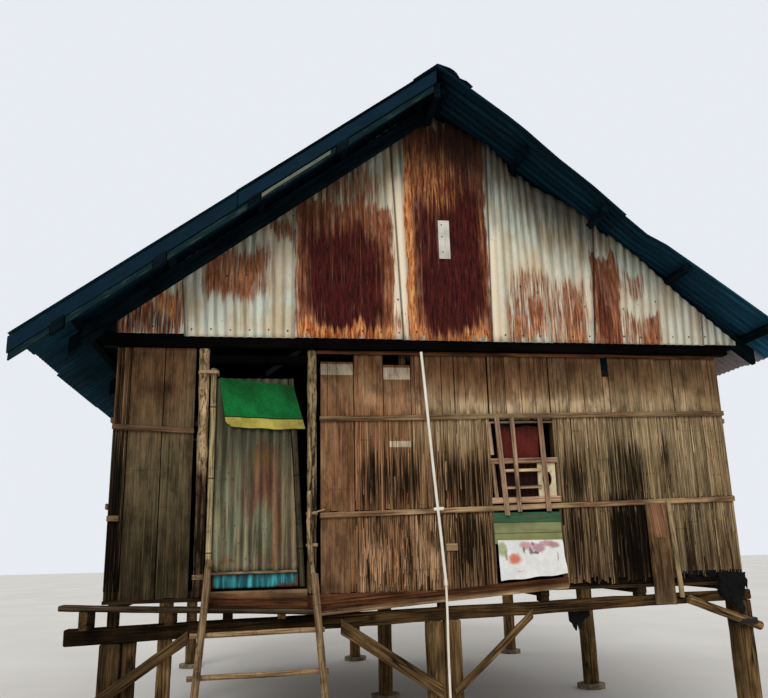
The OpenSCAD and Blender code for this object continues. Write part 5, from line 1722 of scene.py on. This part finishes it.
door_iron()
door_foot()
timbers("door_cross_rails", solids_of("door_rails"), 95, Wear(0.06, 0.006, 0.002, 0.002), "bamboo_pole", strip_wood,
        ["door_rails"], "door")
timbers("door_lath", [block((-1.772, FRONT + 0.010, FLOOR + 0.164), (-1.132, FRONT + 0.024, FLOOR + 0.182))], 97,
        Wear(0.02, 0.003, 0.005, 0.005), "bamboo_pole", bar_wood, (), "door", bleached_along(0.5, 0.04, 51, 1))


# Window pieces

def holed_board(low, high, middle_x, middle_z, half_x, half_z, count=32):
    """An upright board with an oval hole."""
    solid = bmesh.new()
    rings = []
    for y in (low.y, high.y):
        outer, inner = [], []
        for k in range(count):
            turn = 2 * math.pi * (k + 0.5) / count
            c, s = math.cos(turn), math.sin(turn)
            inner.append(solid.verts.new((middle_x + half_x * c, y, middle_z + half_z * s)))
            reach = min(((high.x if c > 0 else low.x) - middle_x) / c, ((high.z if s > 0 else low.z) - middle_z) / s)
            outer.append(solid.verts.new((middle_x + reach * c, y, middle_z + reach * s)))
        # The corners of the board
        for x, z in ((low.x, low.z), (low.x, high.z), (high.x, low.z), (high.x, high.z)):
            near = min(outer, key=lambda point: (point.co.x - x) ** 2 + (point.co.z - z) ** 2)
            near.co.x, near.co.z = x, z
        rings += [outer, inner]
    outer, inner, outer_back, inner_back = rings
    for k in range(count):
        n = (k + 1) % count
        for one, two in ((outer, inner), (inner_back, outer_back), (inner, inner_back), (outer_back, outer)):
            solid.faces.new((one[k], one[n], two[n], two[k]))
    bmesh.ops.recalc_face_normals(solid, faces=solid.faces[:])
    return solid


low_corner, high_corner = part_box("window_board")
timbers("window_hatch_board", [holed_board(low_corner, high_corner, 0.911, 2.204, 0.040, 0.064)], 70,
        Wear(0.4, 0.0, 0.0, 0.0006), "sawn_board",
        painted_board_finish("beige_board", (206, 190, 154), (132, 112, 82), 0.4), ["window_board"])
timbers("window_left_bar", [prism(outline, FRONT - 0.017, FRONT - 0.0015) for outline in (
    [(0.459, 2.010), (0.489, 2.010), (0.468, 2.325), (0.438, 2.325)],
    [(0.438, 2.400), (0.466, 2.400), (0.448, 2.676), (0.421, 2.676)])], 71, Wear(0.05, 0.002, 0.001, 0.0012),
        "sawn_board", bar_wood)
several("green_plank_boards", [
    ("green_plank", [plank], 72 + number, Wear(0.08, 0.003, 0.002, 0.0015, 1), painted_board_finish(*look))
    for number, (plank, look) in enumerate(zip(
        sorted(solids_of("green_planks"), key=lambda solid: min(point.co.z for point in solid.verts)),
        (("olive_plank", (142, 144, 96), (120, 104, 72), 0.38),
         ("olive_plank_upper", (136, 140, 98), (118, 102, 72), 0.36),
         ("dark_green_plank", (56, 92, 66), (104, 98, 70), 0.46))))
], "green_paint", ["green_planks"])


# Cloths

def hung(name, columns, rows, spot_at, thickness, flat_size=(0.0, 0.0)):
    """A thin sheet on a lattice. spot_at gives the place at each share across it and up it."""
    shares = [(i / (columns - 1), j / (rows - 1)) for i in range(columns) for j in range(rows)]
    marks = {"flat": [(u * flat_size[0], v * flat_size[1], 0.0) for u, v in shares]} if any(flat_size) else {}
    mesh = mesh_of(name, [spot_at(u, v) for u, v in shares], lattice_faces(columns, rows), **marks)
    return baked(name, mesh, thickness=thickness)


def cloth(name, columns, rows, corners, flat_size, folds):
    """A cloth between four corners at one depth, from the lower left round to the upper left. folds gives what is
    added to each place."""
    a, b, c, d = (Vector(corner) for corner in corners)
    return hung(name, columns, rows, lambda u, v: a.lerp(b, u).lerp(d.lerp(c, u), v) + Vector(folds(u, v)), 0.0014,
                flat_size)


def flowered_cloth():
    low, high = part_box("white_cloth")
    y = (low.y + high.y) / 2

    def folds(u, v):
        wave = 0.0025 * math.sin(u * 21 + 2) * (0.4 + 0.6 * (1 - v)) + 0.003 * math.sin(u * 7 + v * 5)
        soft = 0.0035 * noise.noise(Vector((u * 4, v * 3, 2)))
        return 0.003 * math.sin(v * 9) * (1 if u > 0.9 else 0), wave + soft, 0.004 * math.sin(u * 14) * (1 - v) ** 2

    corners = [(0.463, y, 1.408), (1.017, y, 1.450), (0.988, y, 1.716), (0.452, y, 1.720)]
    mesh = cloth("flowered_cloth_piece", 80, 44, corners, (0.56, 0.29), folds)
    piece = settle("flowered_cloth_piece", mesh, "flowered_cloth", ["white_cloth"],
                   flowered_finish("flowered_cloth"), 60)


def maroon_curtain():
    low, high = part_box("window_cloth")
    y, left, right = (low.y + high.y) / 2, low.x + 0.050, high.x - 0.110

    def folds(u, v):
        gather = math.sin(u * 46 + 1.5 * math.sin(v * 2.2)) * (0.0032 + 0.0012 * math.sin(u * 9))
        return 0.004 * math.sin(v * 5 + u * 8), gather, 0.006 * math.sin(u * 11) * v ** 3

    mesh = cloth("maroon_window_curtain", 120, 40, [(left, y, low.z + 0.006), (right - 0.01, y, low.z + 0.012),
                                                    (right, y, high.z - 0.112), (left + 0.01, y, high.z - 0.122)],
                 (0.46, 0.68), folds)
    # Painted shade darkens the curtain at its foot and its head
    set_marks(mesh, damp=np.interp(points_of(mesh)[:, 2], [2.30, 2.40, 2.54, 2.64], [0.88, 0.10, 0.1, 0.6]))
    piece = settle("maroon_window_curtain", mesh, "maroon_cloth", ["window_cloth"],
                   curtain_finish("maroon_cloth", (126, 44, 34)), 60)


def door_banner():
    low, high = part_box("door_cloth")
    y = high.y - 0.0035

    def folds(u, v):
        hang = 1 - v
        sway = 0.0035 * math.sin(u * 9.0 + 0.6) * hang + 0.002 * math.sin(u * 23 + v * 4) * hang
        lift = 0.010 * math.sin(u * 5.2 + 1.2) * hang ** 3 + 0.004 * math.sin(u * 17) * hang ** 4
        curl = 0.030 * max(0.0, 1 - u / 0.10) ** 2 * max(0.0, 1 - v / 0.16) ** 2
        crease = -0.0022 * math.exp(-((v - 0.225) / 0.014) ** 2)
        return curl * 0.8, -0.0035 + sway * 0.8 + crease, lift * 0.7 + curl - 0.004 * math.sin(math.pi * u) * v

    corners = [(-1.690, y, low.z + 0.008), (-1.073, y, low.z + 0.004), (-1.172, y, high.z - 0.062),
               (-1.752, y, high.z - 0.002)]
    mesh = cloth("door_banner", 88, 60, corners, (0.61, 0.41), folds)
    piece = settle("door_banner", mesh, "green_cloth", ["door_cloth"], banner_finish("green_banner_cloth"), 60, "door")


flowered_cloth()
maroon_curtain()
door_banner()


# Small things

timbers("gable_patch", [block((0.064, FRONT - 0.0635, 4.078), (0.162, FRONT - 0.0605, 4.432))], 77,
        Wear(0.05, 0.0008, 0.001, 0.001, 1), "rusted_sheet",
        painted_board_finish("white_patch_paint", (206, 200, 190), (150, 120, 96), 0.36))
timbers("small_block", [block((0.034, FRONT - 0.017, 1.648), (0.126, FRONT - 0.001, 1.704))], 78,
        Wear(0.03, 0.002, 0.0, 0.001), "sawn_board", strip_wood, bleach=0.45)


def nail_piece(name, spots, slot, body="house"):
    """Nail heads that face the front: each spot is a place and the radius."""
    places, sizes = zip(*spots)
    mesh = mesh_of(name, places, nail_out=[(0, -1, 0)] * len(spots), nail_size=sizes)
    settle(name, baked(name, mesh, NAILS, {"Finish": nail_iron}), slot, body=body)


def nails():
    rng = random.Random(8)
    spots, between = [], 2 * WAVE
    for left, right, lean, _, foot, lift in GABLE_SHEETS:
        x = math.ceil(left / between) * between
        while x < right:
            for level in (foot + 0.062, foot + 0.42 + 0.1 * math.sin(x * 3)):
                if level < gable_top(x, True) - 0.12 and (level < foot + 0.1 or rng.random() < 0.4):
                    at = (x + lean * (level - foot), FRONT - 0.0585 - lift, level + rng.uniform(-0.01, 0.01))
                    spots.append((at, rng.uniform(0.006, 0.0085)))
            x += between
    spots += [((0.113 + dx, FRONT - 0.064, z), 0.0065) for dx, z in ((-0.02, 4.39), (-0.018, 4.28), (-0.015, 4.14))]
    spots += [((x, FRONT - 0.058, under_roof(x, 0.25)), 0.0075) for x in (-1.18, -1.0, -0.9)]
    nail_piece("gable_nails", spots, "rusted_sheet")
    low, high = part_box("door_sheet")
    crests = [low.x + DOOR_WAVE * round((0.05 + 0.13 * k) / DOOR_WAVE) for k in range(5)]
    spots = [((x, FRONT + 0.0085, z + rng.uniform(-0.012, 0.012)), 0.006)
             for z in (FLOOR + 0.26, FLOOR + 0.88, FLOOR + 1.45) for x in crests if x < high.x - 0.09]
    nail_piece("door_nails", spots, "door_zinc", "door")


def bag_wrap():
    """A black plastic bag, torn open and tied over the beam's end and the top of the right front post."""

    def spot_at(u, v):
        torn = 0.035 * wander(u, 0.06, 41) + 0.018 * wander(u, 0.02, 42)
        foot = np.interp(u, [0, 0.2, 0.45, 0.66, 0.8, 1.0], [1.31, 1.18, 1.125, 1.115, 1.22, 1.34]) + torn
        head = 1.432 - 0.010 * u + 0.010 * wander(u, 0.05, 43)
        z = head + (foot - head) * v
        soft = 0.006 * noise.noise(Vector((u * 5, v * 4, 2)))
        fold = 0.007 * math.sin(u * 17 + 2.2 * v + 1.4 * math.sin(v * 5)) + soft
        side = 0.04 * max(0.0, 1 - u / 0.16) ** 2 - 0.055 * min(1.0, max(0.0, (1.20 - z) / 0.05))
        return 2.300 + 0.252 * u + 0.012 * math.sin(v * 6 + u * 3) * v, FRONT - 0.026 + fold * (0.3 + 0.7 * v) + side, z

    piece = settle("bag_wrap", hung("bag_wrap", 60, 30, spot_at, 0.0012), "rope", (), black_plastic, 60)


def bag_scraps():
    """What is left of the bag under the foot of the wall."""
    rng, strips, faces = random.Random(17), [], []
    for number in range(26):
        x = 2.02 + 0.535 * number / 26
        wide, drop = rng.uniform(0.016, 0.036), rng.uniform(0.03, 0.085)
        faces += lattice_faces(3, 6, len(strips))
        strips += [(x + wide * (across - 0.5) * (1 - 0.5 * v) + 0.006 * v * rng.uniform(-1, 1),
                    FRONT + 0.004 - 0.004 * math.sin(across * math.pi) - 0.001 * (number % 3), 1.444 - drop * v)
                   for across in (0.0, 0.5, 1.0) for v in evenly(0.0, 1.0, 6)]
    mesh = baked("bag_scraps", mesh_of("bag_scraps", strips, faces), thickness=0.001)
    piece = settle("bag_scraps", mesh, "rope", (), black_plastic, 60)


def torn_rag():
    """A torn black rag that hangs from the underside of the front beam."""
    ends = sorted((point.co.x, point.co.z) for solid in solids_of("front_beam") for point in solid.verts)
    (left, left_low), (right, right_low) = ends[0], min(ends[-4:], key=lambda end: end[1])
    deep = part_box("front_beam")[1].y - 0.025

    def spot_at(u, v):
        x = 1.034 + 0.186 * u
        top = left_low + (right_low - left_low) * (x - left) / (right - left) + 0.006
        drop = 0.008 * wander(u, 0.05, 47) + np.interp(
            u, [0, 0.1, 0.2, 0.34, 0.39, 0.46, 0.62, 0.70, 0.80, 1.0],
            [0.080, 0.105, 0.152, 0.156, 0.115, 0.150, 0.156, 0.100, 0.085, 0.060])
        fold = 0.006 * math.sin(u * 15 + 1.5 * v) + 0.005 * noise.noise(Vector((u * 4, v * 3, 5)))
        return x + 0.010 * v * math.sin(u * 5 + 1), deep + fold * (0.25 + 0.75 * v), top - drop * v

    piece = settle("torn_rag", hung("torn_rag", 36, 16, spot_at, 0.0015), "rope", (), black_plastic, 60)


nail_iron = nail_finish("nail_iron")
black_plastic = plastic_bag_finish("black_plastic")
nails()
bag_wrap()
bag_scraps()
torn_rag()


# What no piece took over
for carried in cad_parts.values():
    if not carried.hide_render:
        carried.data.materials.clear()
        carried.data.materials.append(roof_wood)


# Floor, light and background

def stage_and_light():
    floor = mesh_of("studio_floor", [(-60, -60, 0), (60, -60, 0), (60, 60, 0), (-60, 60, 0)], [(0, 1, 2, 3)])
    start("studio_floor")
    cloud = grained(object_place(), 0.4, 2).eased(0.3, 0.7)
    floor.materials.append(finish(mix(cloud, (214, 212, 208), (222, 220, 216)), 0.9))
    shown("studio_floor", floor)
    world = bpy.context.scene.world = bpy.data.worlds.new("studio")
    world.use_nodes = True
    Value.tree = world.node_tree
    Value.tree.nodes.clear()
    rays = add("LightPath").outputs
    camera, glossy, through = (Value(rays[f"Is {kind} Ray"]) for kind in ("Camera", "Glossy", "Transmission"))
    seen = calc("MAXIMUM", calc("MAXIMUM", camera, glossy), through)
    soft = node("Background", {"Color": (1.0, 0.985, 0.96, 1), "Strength": 0.62})
    pale = node("Background", {"Color": (232, 236, 242), "Strength": 1.0})
    add("OutputWorld", {0: node("MixShader", {0: seen, 1: soft, 2: pale})})
    lamp = shown("soft_key", bpy.data.lights.new("soft_key", "SUN"))
    lamp.data.energy, lamp.data.angle = 1.5, math.radians(35)
    lamp.rotation_euler = Vector((0.35, 1.0, -0.75)).to_track_quat("-Z", "Y").to_euler()
    bpy.context.scene.view_settings.view_transform = "Standard"


stage_and_light()
